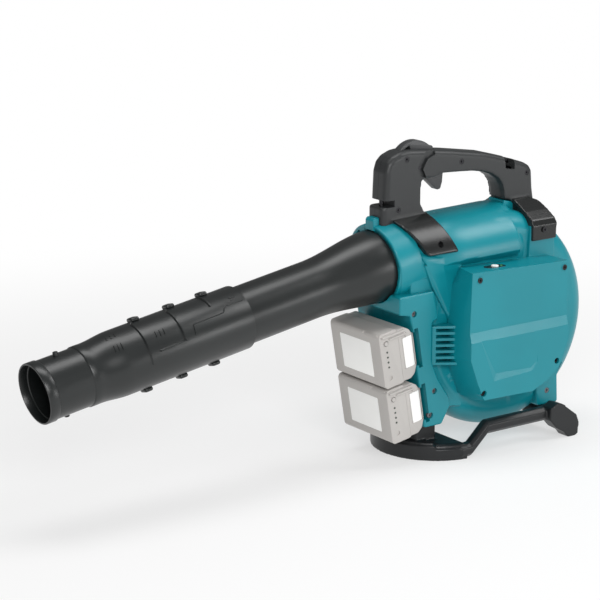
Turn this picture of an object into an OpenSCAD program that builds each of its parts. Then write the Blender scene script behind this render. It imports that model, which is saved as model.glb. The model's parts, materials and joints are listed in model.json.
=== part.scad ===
// Hand-held cordless garden blower with two slide-on battery packs.
// X runs from the nozzle to the back, Z is up, and the motor side faces -Y.
// The floor is Z = 0 and the origin is under the middle of the whole machine.

/* [Nozzle] */
// Slope of the nozzle and of the battery packs, degrees
tilt = 9.7; // [6:0.1:12]
// Height of the middle of the pipe collar over the floor
collar_h = 263.5; // [250:0.5:275]
// Length from the collar to the mouth, along the nozzle
nozzle_len = 519; // [505:1:560]
// Outer radius of the long pipe
pipe_r = 38; // [34:0.5:41]
// Outer radius of the pipe's flared root at the collar
root_r = 48.2; // [46:0.1:49]
// Length of the flare behind the collar
flare_len = 108; // [90:1:120]
// Wall of the pipe and of the end nozzle
pipe_wall = 2.4; // [1.6:0.1:3]
// Length of the pipe in front of the collar, including what the end nozzle hides
pipe_len = 372; // [350:1:380]
// Where the end nozzle's sleeve begins, from the collar
sleeve_start = 222; // [200:1:240]
// How far the end nozzle slides out
extension = 100; // [50:10:110]
// Length of the slim front tube
front_tube_len = 64; // [50:1:80]
// Outer radius of the slim front tube
front_tube_r = 37.6; // [34:0.1:40]

/* [Fan housing] */
// Distance from the collar to the fan axis
fan_x = 185; // [182:1:190]
// Height of the fan axis
fan_h = 170; // [168:1:174]
// Outer radius of the round fan housing
volute_r = 148.5; // [144:0.5:149]
// Half width of the fan housing
volute_half_w = 53; // [50:0.5:55]
// Rounding of the fan housing's rim
rim_round = 28; // [20:1:32]
// Wall of the housing shells
wall = 3; // [2:0.2:4]
// Outer radius of the outlet duct at the collar
duct_r = 54; // [52:0.5:56]
// Outer radius of the outlet duct at its back end
duct_back_r = 57; // [55:0.5:58]
// Rise of the duct's axis from the collar to its back end
duct_rise = 6; // [4:0.5:8]
// Half width of the battery column
column_half_w = 60; // [58:0.5:64]
// Half width of the whole machine, to the motor cover and the inlet cover
body_half_w = 105; // [103:0.5:108]

/* [Handle] */
// Half width of the handle
handle_half_w = 17; // [16:0.5:18]
// Height of the handle over the floor, at the front block
handle_top = 414.5; // [412:0.5:416]
// Wall of the handle shells
handle_wall = 3.2; // [2.4:0.2:4]
// Radius of the cruise lever's disc
lever_r = 35; // [32:0.5:36]
// Thickness of the cruise lever
lever_t = 12; // [8:0.5:13]

/* [Battery packs] */
// Width of one pack, along the column
pack_w = 76; // [72:0.5:77]
// Length of one pack, across the machine
pack_len = 108; // [100:1:110]
// Thickness of one pack in front of its rails
pack_t = 55; // [50:0.5:56]
// Distance from one pack to the next
pack_pitch = 79; // [78.5:0.5:80]
// Height of the rails behind the pack
rail_h = 8; // [6:0.5:9]

/* [Foot frame] */
// Radius of the front bow
bow_r = 86; // [82:1:88]
// Width of the bow's band
bow_band = 26; // [20:1:32]
// Height of the bow
bow_h = 20; // [16:0.5:22]
// Height of the rails' axis
rail_axis_h = 36; // [34:0.5:37]

/* [Motor and fan] */
// Radius of the fan
fan_r = 98; // [90:1:104]
// Number of fan blades
fan_blades = 9; // [7:1:11]
// Outer radius of the motor case
motor_r = 44; // [42:0.5:46]
// Radius of the motor shaft
shaft_r = 4; // [3.5:0.1:4.5]
// Radius of the air inlet
inlet_r = 62; // [56:1:66]
// Outer radius of the inlet cover
inlet_cover_r = 88; // [84:1:90]

/* [Hidden] */

$fn = 64;
eps = 0.01;
running_gap = 0.05;   // between a shaft and its bearing or hole
moving_gap = 0.4;     // between pieces that slide or turn past each other
seat_gap = 0.1;       // around a screw, pin or insert that stays put

teal = [0.05, 0.53, 0.58];
handle_grey = [0.24, 0.25, 0.26];
pipe_black = [0.13, 0.13, 0.14];
foot_grey = [0.18, 0.19, 0.20];
pack_grey = [0.70, 0.68, 0.66];
pack_white = [0.92, 0.92, 0.90];
steel = [0.75, 0.76, 0.78];
motor_grey = [0.55, 0.56, 0.58];
copper = [0.72, 0.42, 0.22];
lamp_green = [0.35, 0.85, 0.35];

// ---- frames ----

lip_r = front_tube_r + 1.4;
front_reach = nozzle_len * cos(tilt) + lip_r * sin(tilt);
rear_reach = fan_x + volute_r;
x_shift = (front_reach - rear_reach) / 2;

// Moves a piece from the collar's frame, X = 0 at the collar, to the machine's.
module placed() { translate([x_shift, 0, 0]) children(); }

// Z runs out along the nozzle from the collar, X points up.
module along_nozzle() { translate([0, 0, collar_h]) rotate([0, -(90 + tilt), 0]) children(); }

// Z runs from the fan's middle towards the motor, at -Y. X stays and Y is up.
module about_fan() { translate([fan_x, 0, fan_h]) rotate([90, 0, 0]) children(); }

// A side outline in X and height, made a plate from y0 to y1.
module side_plate(y0, y1) { translate([0, y1, 0]) rotate([90, 0, 0]) linear_extrude(y1 - y0) children(); }

// X runs from the label face to the column, Z up along it, at the top of pack 0 or 1.
pack_x = -40;
pack_h = 186;
module at_pack(i) {
    translate([pack_x, 0, pack_h]) rotate([0, -tilt, 0]) translate([0, 0, -i * pack_pitch]) children();
}
function from_pack(along, up) = [
    pack_x + along * cos(tilt) - up * sin(tilt), pack_h + along * sin(tilt) + up * cos(tilt)
];

// Rounds the outer corners of an outline, then its inner ones.
module rounded(r) { offset(r, $fn = 24) offset(-r) children(); }
module eased(r) { offset(-r, $fn = 24) offset(r) children(); }

// ---- housing shells ----

collar_r = 56;
collar_depth = 38;
socket_r = root_r - 0.2;
spigot_r = socket_r - moving_gap;
spigot_len = 26;
bayonet_r = 51;
bayonet_w = 9;
bayonet_s = 18;
twist = 35;
slot_half_a = asin(bayonet_w / 2 / socket_r);
column_face = pack_t + 1;
pocket_depth = rail_h + 1.5;
pocket_end = 47.6;
pocket_half = 27.6;
neck_half = 23.6;
lip_t = 3;
column_bottom = 46;
core_half_w = 52;
duct_back = fan_x + 33;
duct_slope = atan(duct_rise / duct_back);
duct_wall = 6;
lug_half_w = 9;
leg_half_w = 58;
leg_bottom = 40;
pad_half_w = 57;

module volute_profile(inset) {
    r = rim_round - inset;
    half = volute_half_w - inset;
    out = volute_r - inset;
    polygon(concat(
        [[0, -half]],
        [for (a = [-90:15:0]) [out - r + r * cos(a), -half + r + r * sin(a)]],
        [for (a = [0:15:90]) [out - r + r * cos(a), half - r + r * sin(a)]],
        [[0, half]]
    ));
}
module volute(inset = 0) { about_fan() rotate_extrude($fn = 96) volute_profile(inset); }

// The conical outlet duct, grown or shrunk, from one distance behind the collar to another.
module duct(grow = 0, front = 0, back = duct_back) {
    translate([0, 0, collar_h]) rotate([0, 90 - duct_slope, 0]) translate([0, 0, front])
        cylinder(r1 = duct_at(front) + grow, r2 = duct_at(back) + grow, h = back - front);
}
function duct_at(x) = duct_r + (duct_back_r - duct_r) * x / duct_back;

function column_up(h) = (h - pack_h - column_face * sin(tilt)) / cos(tilt);
column_outline = [
    [-4, collar_h - 32], [-4, 207], from_pack(column_face, 8),
    from_pack(column_face, column_up(column_bottom)), [70, column_bottom], [84, 70], [82, 82], [62, 112],
    [51, 137], [51, 190], [62, 194], [53, collar_h - 31]
];
core_outline = [[46, 70], [110, 62], [120, 150], [120, 262], [20, 250], [20, 205], [42, 150]];
rear_leg_outline = [[238, 64], [241, leg_bottom], [279, leg_bottom], [277, 80], [288, 98], [244, 98]];
riser_outline = [[207, 290], [207, 328.5], [260, 314.5], [266, 290], [240, 285]];
lug_outline = [[-10, 300], [-10, 326], [-7, 329], [22, 329], [24, 312], [24, 300]];
v_panel_outline = [[38, 270], [99, 258], [85, 234], [85, 184], [54, 234]];
pad_outline = [[218, 250], [266, 250], [264, 296], [222, 298]];
grille_plan = [[52, -57], [84, -77], [90, -77], [90, -48], [52, -48]];
grille_h = [130, 184];

module both_sides(inner, outer) {
    side_plate(-outer, -inner) children();
    side_plate(inner, outer) children();
}

module housing_outer() {
    volute();
    duct();
    along_nozzle() translate([0, 0, -collar_depth]) cylinder(r = collar_r, h = collar_depth - 0.5);
    side_plate(-column_half_w, column_half_w) polygon(column_outline);
    side_plate(-core_half_w, core_half_w) polygon(core_outline);
    side_plate(-leg_half_w, leg_half_w) polygon(rear_leg_outline);
    side_plate(-handle_half_w, handle_half_w) polygon(riser_outline);
    side_plate(-lug_half_w, lug_half_w) polygon(lug_outline);
    both_sides(40, pad_half_w) polygon(pad_outline);
    both_sides(44, pad_half_w) polygon(v_panel_outline);
}

// The undercut slot that a pack's rails slide in, open at -Y.
module pack_pocket(i, grow) {
    start = grow > 0 ? 1 : lip_t;
    reach = column_half_w + 2 + pocket_end;
    at_pack(i) translate([column_face, -column_half_w - 2, -pack_w / 2]) {
        translate([start, 0, -pocket_half - grow])
            cube([pocket_depth - start + grow, reach + grow, 2 * (pocket_half + grow)]);
        if (grow == 0) translate([-12, 0, -neck_half]) cube([12 + lip_t + eps, reach, 2 * neck_half]);
    }
}

terminal_y = [6, 40];
terminal_half = 14;
terminal_t = 6;
terminal_face = column_face + pocket_depth - 1;
module terminal_block(i, grow) {
    at_pack(i) translate([terminal_face - grow, terminal_y[0] - grow, -pack_w / 2 - terminal_half - grow])
        cube([terminal_t + 2 * grow, terminal_y[1] - terminal_y[0] + 2 * grow, 2 * (terminal_half + grow)]);
}

screw_r = 2;
head_r = 3.8;
head_t = 3;
boss_r = 6;
housing_screw_at = [[50, 62], [56, 95], [258, 60], [20, 206]];
housing_seat_y = -54.5;
housing_tip_y = 30;
foot_screw_at = [[54, -34], [54, 34], [268, -40], [268, 40]];
foot_seat_h = 30;
foot_tip_h = 58;
saddle_screw_at = [[64, 293.5], [242, 291]];
saddle_seat_y = [50.5, 59.3];
saddle_tip_y = [40, 46];

module housing_bosses() {
    for (p = housing_screw_at)
        side_plate(-column_half_w + 1, column_half_w - 1) translate(p) circle(r = boss_r);
    for (p = foot_screw_at) translate([p[0], p[1], column_bottom - 1]) cylinder(r = boss_r, h = 20);
}

module housing_cavity() {
    volute(wall);
    duct(-duct_wall, 30, duct_back - 8);
    difference() {
        union() {
            side_plate(-column_half_w + wall, column_half_w - wall) intersection() {
                offset(-wall) polygon(column_outline);
                translate([-20, 0]) square([200, collar_h - 62]);
            }
            side_plate(-core_half_w + wall, core_half_w - wall) intersection() {
                offset(-wall) polygon(core_outline);
                translate([-20, 0]) square([200, collar_h - 62]);
            }
            side_plate(-leg_half_w + wall, leg_half_w - wall) offset(-wall) polygon(rear_leg_outline);
        }
        volute();
        duct();
        for (i = [0, 1]) pack_pocket(i, wall);
        housing_bosses();
    }
}

// The round socket behind the collar, with two L-shaped bayonet slots.
module collar_socket() {
    along_nozzle() {
        translate([0, 0, -spigot_len - moving_gap]) cylinder(r = socket_r, h = spigot_len + 5);
        translate([0, 0, -collar_depth - 34]) cylinder(r = root_r - pipe_wall - 0.6, h = collar_depth + 30);
        translate([0, 0, -0.5]) cylinder(r = root_r + 2, h = 40);
        for (turn = [0, 180]) rotate([0, 0, turn]) translate([0, 0, -bayonet_s - bayonet_w / 2]) {
            rotate([0, 0, twist - slot_half_a]) rotate_extrude(angle = 2 * slot_half_a)
                bayonet_cut(bayonet_r + moving_gap, bayonet_s + bayonet_w);
            rotate([0, 0, -slot_half_a - 0.5]) rotate_extrude(angle = twist + 2 * slot_half_a + 1)
                bayonet_cut(bayonet_r + moving_gap + 0.2, bayonet_w);
        }
    }
}
module bayonet_cut(r, h) { translate([socket_r - 4, 0]) square([r - socket_r + 4, h]); }

module housing_holes() {
    for (i = [0, 1]) {
        pack_pocket(i, 0);
        terminal_block(i, seat_gap);
    }
    collar_socket();
    for (p = housing_screw_at) {
        side_plate(-70, housing_tip_y + 1) translate(p) circle(r = screw_r + seat_gap);
        side_plate(-70, housing_seat_y) translate(p) circle(r = head_r + 0.4);
    }
    for (p = foot_screw_at) translate([p[0], p[1], 0]) cylinder(r = screw_r + seat_gap, h = foot_tip_h + 1);
    for (i = [0, 1]) both_sides(saddle_tip_y[i] - 1, 70)
        translate(saddle_screw_at[i]) circle(r = screw_r + seat_gap);
}

// ---- motor bay, on the left shell ----

cover_base_outline = [
    [84, 236], [96, 258.5], [252, 254], [253, 176], [254, 143], [241, 108], [218, 90], [190, 79],
    [103, 81], [90, 108], [78, 140], [78, 172], [84, 180]
];
cover_face_outline = [
    [83, 260], [250, 255], [250, 176], [251, 143], [238, 111], [216, 93], [190, 82], [104, 84],
    [92, 110], [80, 142], [80, 170], [83, 178]
];
cover_screw_at = [[96, 249], [104, 94], [232, 118], [244, 246]];
bay_rim = volute_half_w + 4;
bay_depth = 22;

module motor_bay() {
    difference() {
        side_plate(-bay_rim, -bay_rim + bay_depth) polygon(cover_base_outline);
        side_plate(-bay_rim - 1, -volute_half_w) offset(-wall) polygon(cover_base_outline);
        difference() {
            side_plate(-volute_half_w - eps, -volute_half_w + 12)
                offset(-wall - 2) polygon(cover_base_outline);
            cover_bosses();
        }
    }
}

module cover_bosses() {
    side_plate(-bay_rim, -volute_half_w + 7) cover_boss_2d();
}

module cover_boss_2d() {
    intersection() {
        for (p = cover_screw_at) translate(p) circle(r = boss_r - 0.5);
        polygon(cover_base_outline);
    }
}

module side_louvres() {
    slots = 6;
    pitch = (grille_h[1] - grille_h[0] - 4) / slots;
    difference() {
        translate([0, 0, grille_h[0]]) linear_extrude(grille_h[1] - grille_h[0]) polygon(grille_plan);
        for (i = [0:slots - 1]) translate([0, 0, grille_h[0] + 4 + i * pitch])
            linear_extrude(pitch - 3.5) polygon([[57, -80], [82, -80], [82, -54], [57, -54]]);
        side_plate(-100, -bay_rim + 0.1) polygon(cover_base_outline);
    }
}

module left_space() { translate([-100, -200, 0]) cube([600, 200, 500]); }
module right_space() { translate([-100, 0, 0]) cube([600, 200, 500]); }

module housing_left() {
    color(teal) placed() difference() {
        union() {
            difference() {
                intersection() {
                    union() {
                        housing_outer();
                        motor_bay();
                        side_louvres();
                    }
                    left_space();
                }
                housing_cavity();
            }
            cover_bosses();
        }
        housing_holes();
        about_fan() cylinder(r = 16, h = 80);
        for (p = cover_screw_at)
            side_plate(-70, -volute_half_w + 6) translate(p) circle(r = screw_r + seat_gap);
    }
}

// ---- air inlet, on the right shell ----

inlet_ring_t = 4;
inlet_ring_h = 7;
hinge_x = fan_x + 98;
hinge_y = 62;
hinge_r = 5;
hinge_pin_r = 2.4;
hinge_half = 12;
hinge_lug = 12;
hinge_lug_h = hinge_half + moving_gap + hinge_lug / 2;
lock_x = fan_x - 98;
lock_boss_h = 3;
lock_ear_t = 5;

module housing_right() {
    color(teal) placed() difference() {
        union() {
            difference() {
                intersection() {
                    housing_outer();
                    right_space();
                }
                housing_cavity();
                about_fan() translate([0, 0, -volute_half_w - 20])
                    cylinder(r = inlet_cover_r + moving_gap, h = 20);
            }
            about_fan() translate([0, 0, -volute_half_w - inlet_ring_h])
                cylinder(r = inlet_r + inlet_ring_t, h = inlet_ring_h + 1);
            for (end = [-hinge_lug_h, hinge_lug_h]) translate([hinge_x, 0, fan_h + end]) {
                translate([0, hinge_y, 0]) cylinder(r = hinge_r, h = hinge_lug, center = true);
                translate([-hinge_r, volute_half_w - 2, -hinge_lug / 2])
                    cube([2 * hinge_r, hinge_y - volute_half_w + 2, hinge_lug]);
            }
            translate([lock_x, volute_half_w - 1, fan_h]) rotate([-90, 0, 0])
                cylinder(r = 9, h = lock_boss_h + 1);
        }
        housing_holes();
        about_fan() translate([0, 0, -volute_half_w - 20]) cylinder(r = inlet_r, h = 40);
        translate([hinge_x, hinge_y, fan_h - 40]) cylinder(r = hinge_pin_r + seat_gap, h = 80);
    }
}

cover_seat_y = volute_half_w + 0.4;
inlet_lip_r = 72;
module inlet_cover() {
    shell = inlet_cover_r - wall - 0.5;
    wall_y = body_half_w - 13;
    color(pipe_black) placed() difference() {
        union() {
            about_fan() rotate_extrude($fn = 96) polygon([
                [inlet_cover_r, -cover_seat_y], [inlet_cover_r, -wall_y], [inlet_lip_r, -body_half_w],
                [0, -body_half_w], [0, -body_half_w + wall], [inlet_lip_r - 1.5, -body_half_w + wall],
                [shell, -wall_y + 1.5], [shell, -cover_seat_y]
            ]);
            translate([hinge_x, hinge_y, fan_h]) cylinder(r = hinge_r, h = 2 * hinge_half, center = true);
            translate([fan_x + shell + 1, hinge_y - 3, fan_h - hinge_half])
                cube([hinge_x - fan_x - shell - 1, 6, 2 * hinge_half]);
            translate([lock_x - 9, volute_half_w + lock_boss_h + moving_gap, fan_h - 9])
                cube([22, lock_ear_t, 18]);
        }
        about_fan() for (row = [-5:5], side = [-1, 1]) {
            reach = sqrt(66 * 66 - 144 * row * row) - 5;
            translate([side > 0 ? 3 : -3 - reach, row * 12 - 3, -body_half_w - 1]) cube([reach, 6, wall + 2]);
        }
        about_fan() for (a = [12:24:359]) rotate([0, 0, a])
            translate([shell - 3, -4, -wall_y + 4]) cube([12, 8, wall_y - cover_seat_y - 12]);
        translate([hinge_x, hinge_y, fan_h]) cylinder(r = hinge_pin_r + running_gap, h = 60, center = true);
        translate([lock_x, 50, fan_h]) rotate([-90, 0, 0]) cylinder(r = 3 + running_gap, h = 20);
    }
}

module inlet_hinge_pin() {
    color(steel) placed() translate([hinge_x, hinge_y, fan_h])
        cylinder(r = hinge_pin_r, h = 2 * (hinge_half + moving_gap + hinge_lug), center = true);
}

module inlet_lock_knob() {
    boss_y = volute_half_w + lock_boss_h;
    ear_y = boss_y + moving_gap + lock_ear_t;
    color(handle_grey) placed() translate([lock_x, 0, fan_h]) rotate([-90, 0, 0]) {
        translate([0, 0, boss_y + 2 * moving_gap]) cylinder(r = 3, h = ear_y + 1 - boss_y - 2 * moving_gap);
        translate([0, 0, ear_y + moving_gap]) cylinder(r = 9, h = 4);
        translate([-2.5, -8.5, ear_y + 4]) cube([5, 17, 9]);
    }
}

module inlet_switch() {
    color(motor_grey) placed()
        translate([fan_x - 10, volute_half_w + seat_gap, fan_h + 68]) cube([20, 8, 11]);
}

// ---- motor cover and power panel ----

cover_t = 3;
face_recess = 2.5;
step_t = 3.5;
step_h = [166, 179];
cover_top_h = 257.6;
power_at = [139, -80];
button_r = 5;
button_travel = 0.8;

module power_outline(grow, h) {
    hull() for (side = [-1, 1]) translate([side * 10, 0, 0]) cylinder(r = 7 + grow, h = h, $fn = 32);
}
module at_power() { translate([power_at[0], power_at[1], cover_top_h]) rotate([0, 1.7, 0]) children(); }

module motor_cover() {
    recess = [[92, 167], [121, 109], [188, 107], [203, 118], [203, 167]];
    color(teal) placed() difference() {
        union() {
            difference() {
                hull() {
                    side_plate(-bay_rim - 24, -bay_rim - 0.2) polygon(cover_base_outline);
                    side_plate(-body_half_w, -body_half_w + 6) rounded(2) polygon(cover_face_outline);
                }
                hull() {
                    side_plate(-bay_rim - 23, -bay_rim + 2) offset(-cover_t) polygon(cover_base_outline);
                    side_plate(-body_half_w + cover_t + step_t, -body_half_w + 12)
                        offset(-cover_t) polygon(cover_face_outline);
                }
            }
            side_plate(-body_half_w + 3, -bay_rim - 0.2) cover_boss_2d();
            at_power() translate([0, 0, -8]) power_outline(3, 7);
        }
        // the upper panel lies back from the lower one, with a sloped step between them
        rotate([90, 0, 90]) linear_extrude(400) polygon([
            [-body_half_w - 5, step_h[0] - 5], [-body_half_w, step_h[0]], [-body_half_w + step_t, step_h[1]],
            [-body_half_w + step_t, 300], [-body_half_w - 5, 300]
        ]);
        hull() {
            side_plate(-body_half_w - 1, -body_half_w) polygon(recess);
            side_plate(-body_half_w, -body_half_w + face_recess) offset(-face_recess * 2) polygon(recess);
        }
        for (p = cover_screw_at) {
            side_plate(-body_half_w - 1, 0) translate(p) circle(r = screw_r + seat_gap);
            side_plate(-body_half_w - 1, -body_half_w + 6) translate(p) circle(r = head_r + 0.4);
        }
        at_power() translate([0, 0, -6]) power_outline(seat_gap, 20);
        at_power() translate([0, 0, -10]) cylinder(r = 3, h = 20);
        translate([0, 0, grille_h[0] - 0.3]) linear_extrude(grille_h[1] - grille_h[0] + 0.6)
            polygon([for (p = grille_plan) [p[0] - 6, p[1] - 0.3]]);
    }
}

module power_panel() {
    color([0.08, 0.1, 0.12]) placed() at_power() difference() {
        translate([0, 0, -5.9]) power_outline(0, 6.6);
        translate([0, 0, -2.4]) cylinder(r = button_r + moving_gap, h = 10);
        translate([0, 0, -10]) cylinder(r = 2 + moving_gap, h = 20);
        translate([11.5, 0, -1]) cylinder(r = 1.6, h = 10);
    }
}

module power_button() {
    color(steel) placed() at_power() {
        translate([0, 0, button_travel + 0.3 - 2.4]) cylinder(r = button_r, h = 2.6 + button_travel);
        translate([0, 0, -6]) cylinder(r = 2, h = 5);
    }
}

module power_lamp() {
    color(lamp_green) placed() at_power() translate([11.5, 0, -1]) cylinder(r = 1.5, h = 1.9);
}

// ---- handle ----

// Heights on the handle are measured down from its top.
function down(d) = handle_top - d;
lever_at = [61, down(25)];
lever_hub_r = 9;
lever_pin_r = 3;
lever_turn = 30;
trigger_at = [82, down(35.5)];
trigger_pin_r = 2.5;
trigger_turn = 13;
trigger_half_w = 6;
handle_outline = [
    [-1, 300], [-1, down(72.5)], [3, down(70.5)], [5, down(26)], [9, down(14)], [17, down(6.5)],
    [30, down(1.5)], [45, handle_top], [78, down(3)], [113, down(7.3)], [174, down(17)], [209, down(26.5)],
    [245, down(38.5)], [254, down(43.5)], [258.5, down(50.5)], [260.5, down(74.5)], [266, 308],
    [260, 314.7], [207, 328.7], [206, down(74.5)], [203, down(64.5)], [196, down(55.5)], [185, down(48.5)],
    [172, down(44)], [155, down(41)], [133, down(39.5)], [103, down(38)], [86, down(42)], [72, down(41)],
    [66, down(43.5)], [64.5, down(52.5)], [64, down(72.5)], [70, 331], [78, 318], [60, 300]
];
eyelet_h = [down(72.5), down(63.5)];
eyelet_depth = 19;
eyelet_pin_r = 3;
eyelet_pin_x = 10;
strap_slot = [[209, down(43)], [225, down(46)], [226, down(19.5)], [207, down(19.5)]];
strap_bar_r = 2.6;
handle_screw_at = [[38.5, down(11.5)], [25, 337], [131, down(24.5)], [247, down(52.5)]];
lever_post = handle_screw_at[0];
lever_post_r = 3.6;
handle_tip_y = 12;
handle_seat_y = -handle_half_w + head_t + 0.6;
saddle_t = 6;
saddle_plate_y = [pad_half_w + 0.3, pad_half_w + 3.5];
saddle_bottom = 276;

// Each layer of the rounded handle: from, to, and how far it is drawn in.
handle_layers = [[0, 8, 0], [8, 12, 1], [12, 15, 2.6], [15, handle_half_w, 5]];
groove_depth = 2.2;
groove_2d = [
    [87, down(2.5)], [70, down(5.5)], [61, down(15.5)], [57, down(26.5)], [62, down(37.5)], [72, down(39.5)],
    [66, down(27.5)], [74, down(14.5)], [87, down(10)]
];

module handle_2d() { rounded(2.5) eased(6) polygon(handle_outline); }

// A plate on one side of the middle plane, between two distances from it.
module one_side(side, inner, outer) {
    side_plate(side > 0 ? inner : -outer, side > 0 ? outer : -inner) children();
}

module front_saddle(side) {
    intersection() {
        difference() {
            duct(saddle_t, 0, 120);
            duct(0.2, -10, 130);
        }
        one_side(side, 10, 70) polygon([[6, 335], [72, 335], [78, 318], [93, 281], [40, 281], [22, 312]]);
    }
}

module rear_saddle(side) {
    outer = saddle_plate_y[1];
    inner = saddle_plate_y[0];
    section = [
        [13, 330], [20, 329], [44, 315], [outer - 3, 303], [outer, 296], [outer, saddle_bottom],
        [inner, saddle_bottom], [inner, 298], [54, 302], [42, 313], [13, 325]
    ];
    intersection() {
        translate([210, 0, 0]) rotate([90, 0, 90]) linear_extrude(60)
            polygon([for (p = section) [side * p[0], p[1]]]);
        side_plate(-70, 70) polygon([[219, 340], [260, 324], [267, 300], [265, 270], [222, 270], [222, 300]]);
    }
}

module handle_solid(side) {
    for (layer = handle_layers) one_side(side, layer[0], layer[1]) offset(-layer[2]) handle_2d();
    front_saddle(side);
    rear_saddle(side);
}

module handle_cavity(side) {
    for (layer = [[-eps, 9, 0], [9, handle_half_w - handle_wall, 2.4]])
        one_side(side, layer[0], layer[1]) difference() {
            offset(-handle_wall - layer[2]) handle_2d();
            translate([-10, 290]) square([36, eyelet_h[1] + 4 - 290]);
            translate([200, 320]) square([32, down(4.5) - 320]);
            translate([-10, 280]) square([300, 46]);
        }
}

module handle_posts(side) {
    for (p = handle_screw_at)
        one_side(side, p == lever_post ? lever_t / 2 + 1 : 0, handle_half_w - 1) translate(p) circle(r = 5.5);
    one_side(side, 0, lever_t / 2 + 2) translate(lever_post) circle(r = lever_post_r);
    for (p = [lever_at, trigger_at])
        one_side(side, lever_t / 2 + 1, handle_half_w - 1) translate(p) circle(r = boss_r);
}

module handle_body(side) {
    color(handle_grey) placed() difference() {
        union() {
            difference() {
                handle_solid(side);
                handle_cavity(side);
            }
            handle_posts(side);
        }
        duct(0.2, -10, duct_back);
        along_nozzle() translate([0, 0, -collar_depth - 1]) cylinder(r = collar_r + 0.2, h = 60);
        volute(-0.2);
        side_plate(-lug_half_w - 0.2, lug_half_w + 0.2) offset(0.2) polygon(lug_outline);
        side_plate(-handle_half_w - 0.2, handle_half_w + 0.2) offset(0.2) polygon(riser_outline);
        // strap eyelet, open to the front and to both sides
        side_plate(-30, 30) translate([-10, eyelet_h[0]])
            square([10 + eyelet_depth, eyelet_h[1] - eyelet_h[0]]);
        translate([eyelet_pin_x, 0, eyelet_h[0] - 6]) cylinder(r = eyelet_pin_r + seat_gap, h = 24);
        // strap slot, and the holes of its bar
        side_plate(-30, 30) polygon(strap_slot);
        translate([198, 0, down(29.1)]) rotate([0, 106, 0]) cylinder(r = strap_bar_r + seat_gap, h = 38);
        // slots of the cruise lever and of the trigger
        side_plate(-lever_t / 2 - moving_gap, lever_t / 2 + moving_gap) difference() {
            translate(lever_at) {
                sector(lever_r + 1, 15, 210);
                sector(lever_r + 4, 20, 100);
            }
            translate(lever_post) circle(r = lever_post_r);
        }
        one_side(side, handle_half_w - groove_depth, handle_half_w + 1) polygon(groove_2d);
        side_plate(-trigger_half_w - 0.5, trigger_half_w + 0.5) translate([74, down(69.5)]) square([40, 40]);
        for (p = handle_screw_at) {
            side_plate(-30, handle_tip_y + 1) translate(p) circle(r = screw_r + seat_gap);
            side_plate(-30, handle_seat_y) translate(p) circle(r = head_r + 0.3);
        }
        for (i = [0, 1]) {
            side_plate(-80, 80) translate(saddle_screw_at[i]) circle(r = screw_r + seat_gap);
            both_sides(saddle_seat_y[i], 80) translate(saddle_screw_at[i]) circle(r = head_r + 0.3);
        }
        side_plate(-15, 15) translate(lever_at) circle(r = lever_pin_r + seat_gap);
        side_plate(-15, 15) translate(trigger_at) circle(r = trigger_pin_r + seat_gap);
    }
}

// A flat sector from angle a0 to a1.
module sector(r, a0, a1) {
    polygon(concat([[0, 0]], [for (i = [0:12]) let (a = a0 + (a1 - a0) * i / 12) r * [cos(a), sin(a)]]));
}

module handle_left() { handle_body(-1); }
module handle_right() { handle_body(1); }

post_at_r = norm(lever_post - lever_at);
post_a = atan2(lever_post[1] - lever_at[1], lever_post[0] - lever_at[0]);
post_half_a = asin((lever_post_r + 1.2) / post_at_r);
module cruise_lever() {
    color(pipe_black) placed() difference() {
        side_plate(-lever_t / 2, lever_t / 2) translate(lever_at) {
            circle(r = lever_hub_r);
            sector(lever_r, 32, 150);
            translate(33 * [cos(40), sin(40)]) circle(r = 4.5);
        }
        // an arc slot that lets the lever turn past the screw post
        side_plate(-20, 20) translate(lever_at) difference() {
            sector(post_at_r + lever_post_r + 0.8, post_a - lever_turn - post_half_a, 160);
            circle(r = post_at_r - lever_post_r - 0.8);
        }
        side_plate(-20, 20) translate(lever_at) circle(r = lever_pin_r + running_gap);
    }
}

module lever_pin() { color(steel) placed() side_plate(-15, 15) translate(lever_at) circle(r = lever_pin_r); }

trigger_outline = [
    [76, down(33.5)], [80, down(29.5)], [88, down(29.5)], [108, down(37.5)], [107, down(50.5)],
    [104, down(59.5)], [99, down(60.5)], [90, down(52.5)], [80, down(43.5)]
];
module trigger() {
    color(pipe_black) placed() difference() {
        side_plate(-trigger_half_w, trigger_half_w) rounded(1.5) polygon(trigger_outline);
        side_plate(-20, 20) translate(trigger_at) circle(r = trigger_pin_r + running_gap);
    }
}

module trigger_pin() {
    color(steel) placed() side_plate(-15, 15) translate(trigger_at) circle(r = trigger_pin_r);
}

module switch_body() {
    color([0.1, 0.1, 0.1]) placed() {
        side_plate(-9, 9) translate([98, down(26)]) square([25, 12.5]);
    }
}

module front_eyelet_pin() {
    color(steel) placed() translate([eyelet_pin_x, 0, eyelet_h[0] - 5])
        cylinder(r = eyelet_pin_r, h = eyelet_h[1] - eyelet_h[0] + 10);
}

module rear_strap_bar() {
    color(steel) placed()
        translate([200, 0, down(29.7)]) rotate([0, 106, 0]) cylinder(r = strap_bar_r, h = 32);
}

// ---- nozzle ----

stud_r = 3.8;
end_stud_s = 359;
sleeve_r = pipe_r + 4;
sleeve_bore = pipe_r + moving_gap;
groove_r = pipe_r + 2.6;
groove_w = 9;
mouth_r = front_tube_r - pipe_wall;
cone_end = nozzle_len - front_tube_len - 12;
// Middles of the upper grip bumps. The lower ones lie further out by bump_lead.
bump_at = [sleeve_start + 41, sleeve_start + 90, cone_end - 79];
bump_lead = 10;
bump_turn = 15;
// Distance of each rib, and how far round it runs.
rib_at = [[sleeve_start + 49, 31], [sleeve_start + 101, 72], [cone_end - 68, 91]];
rib_h = 1.2;
bump_r = sleeve_r + 3.5;

function pipe_outer(s) =
    s >= flare_len ? pipe_r : pipe_r + (root_r - pipe_r) * (0.5 + 0.5 * cos(180 * s / flare_len));

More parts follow.
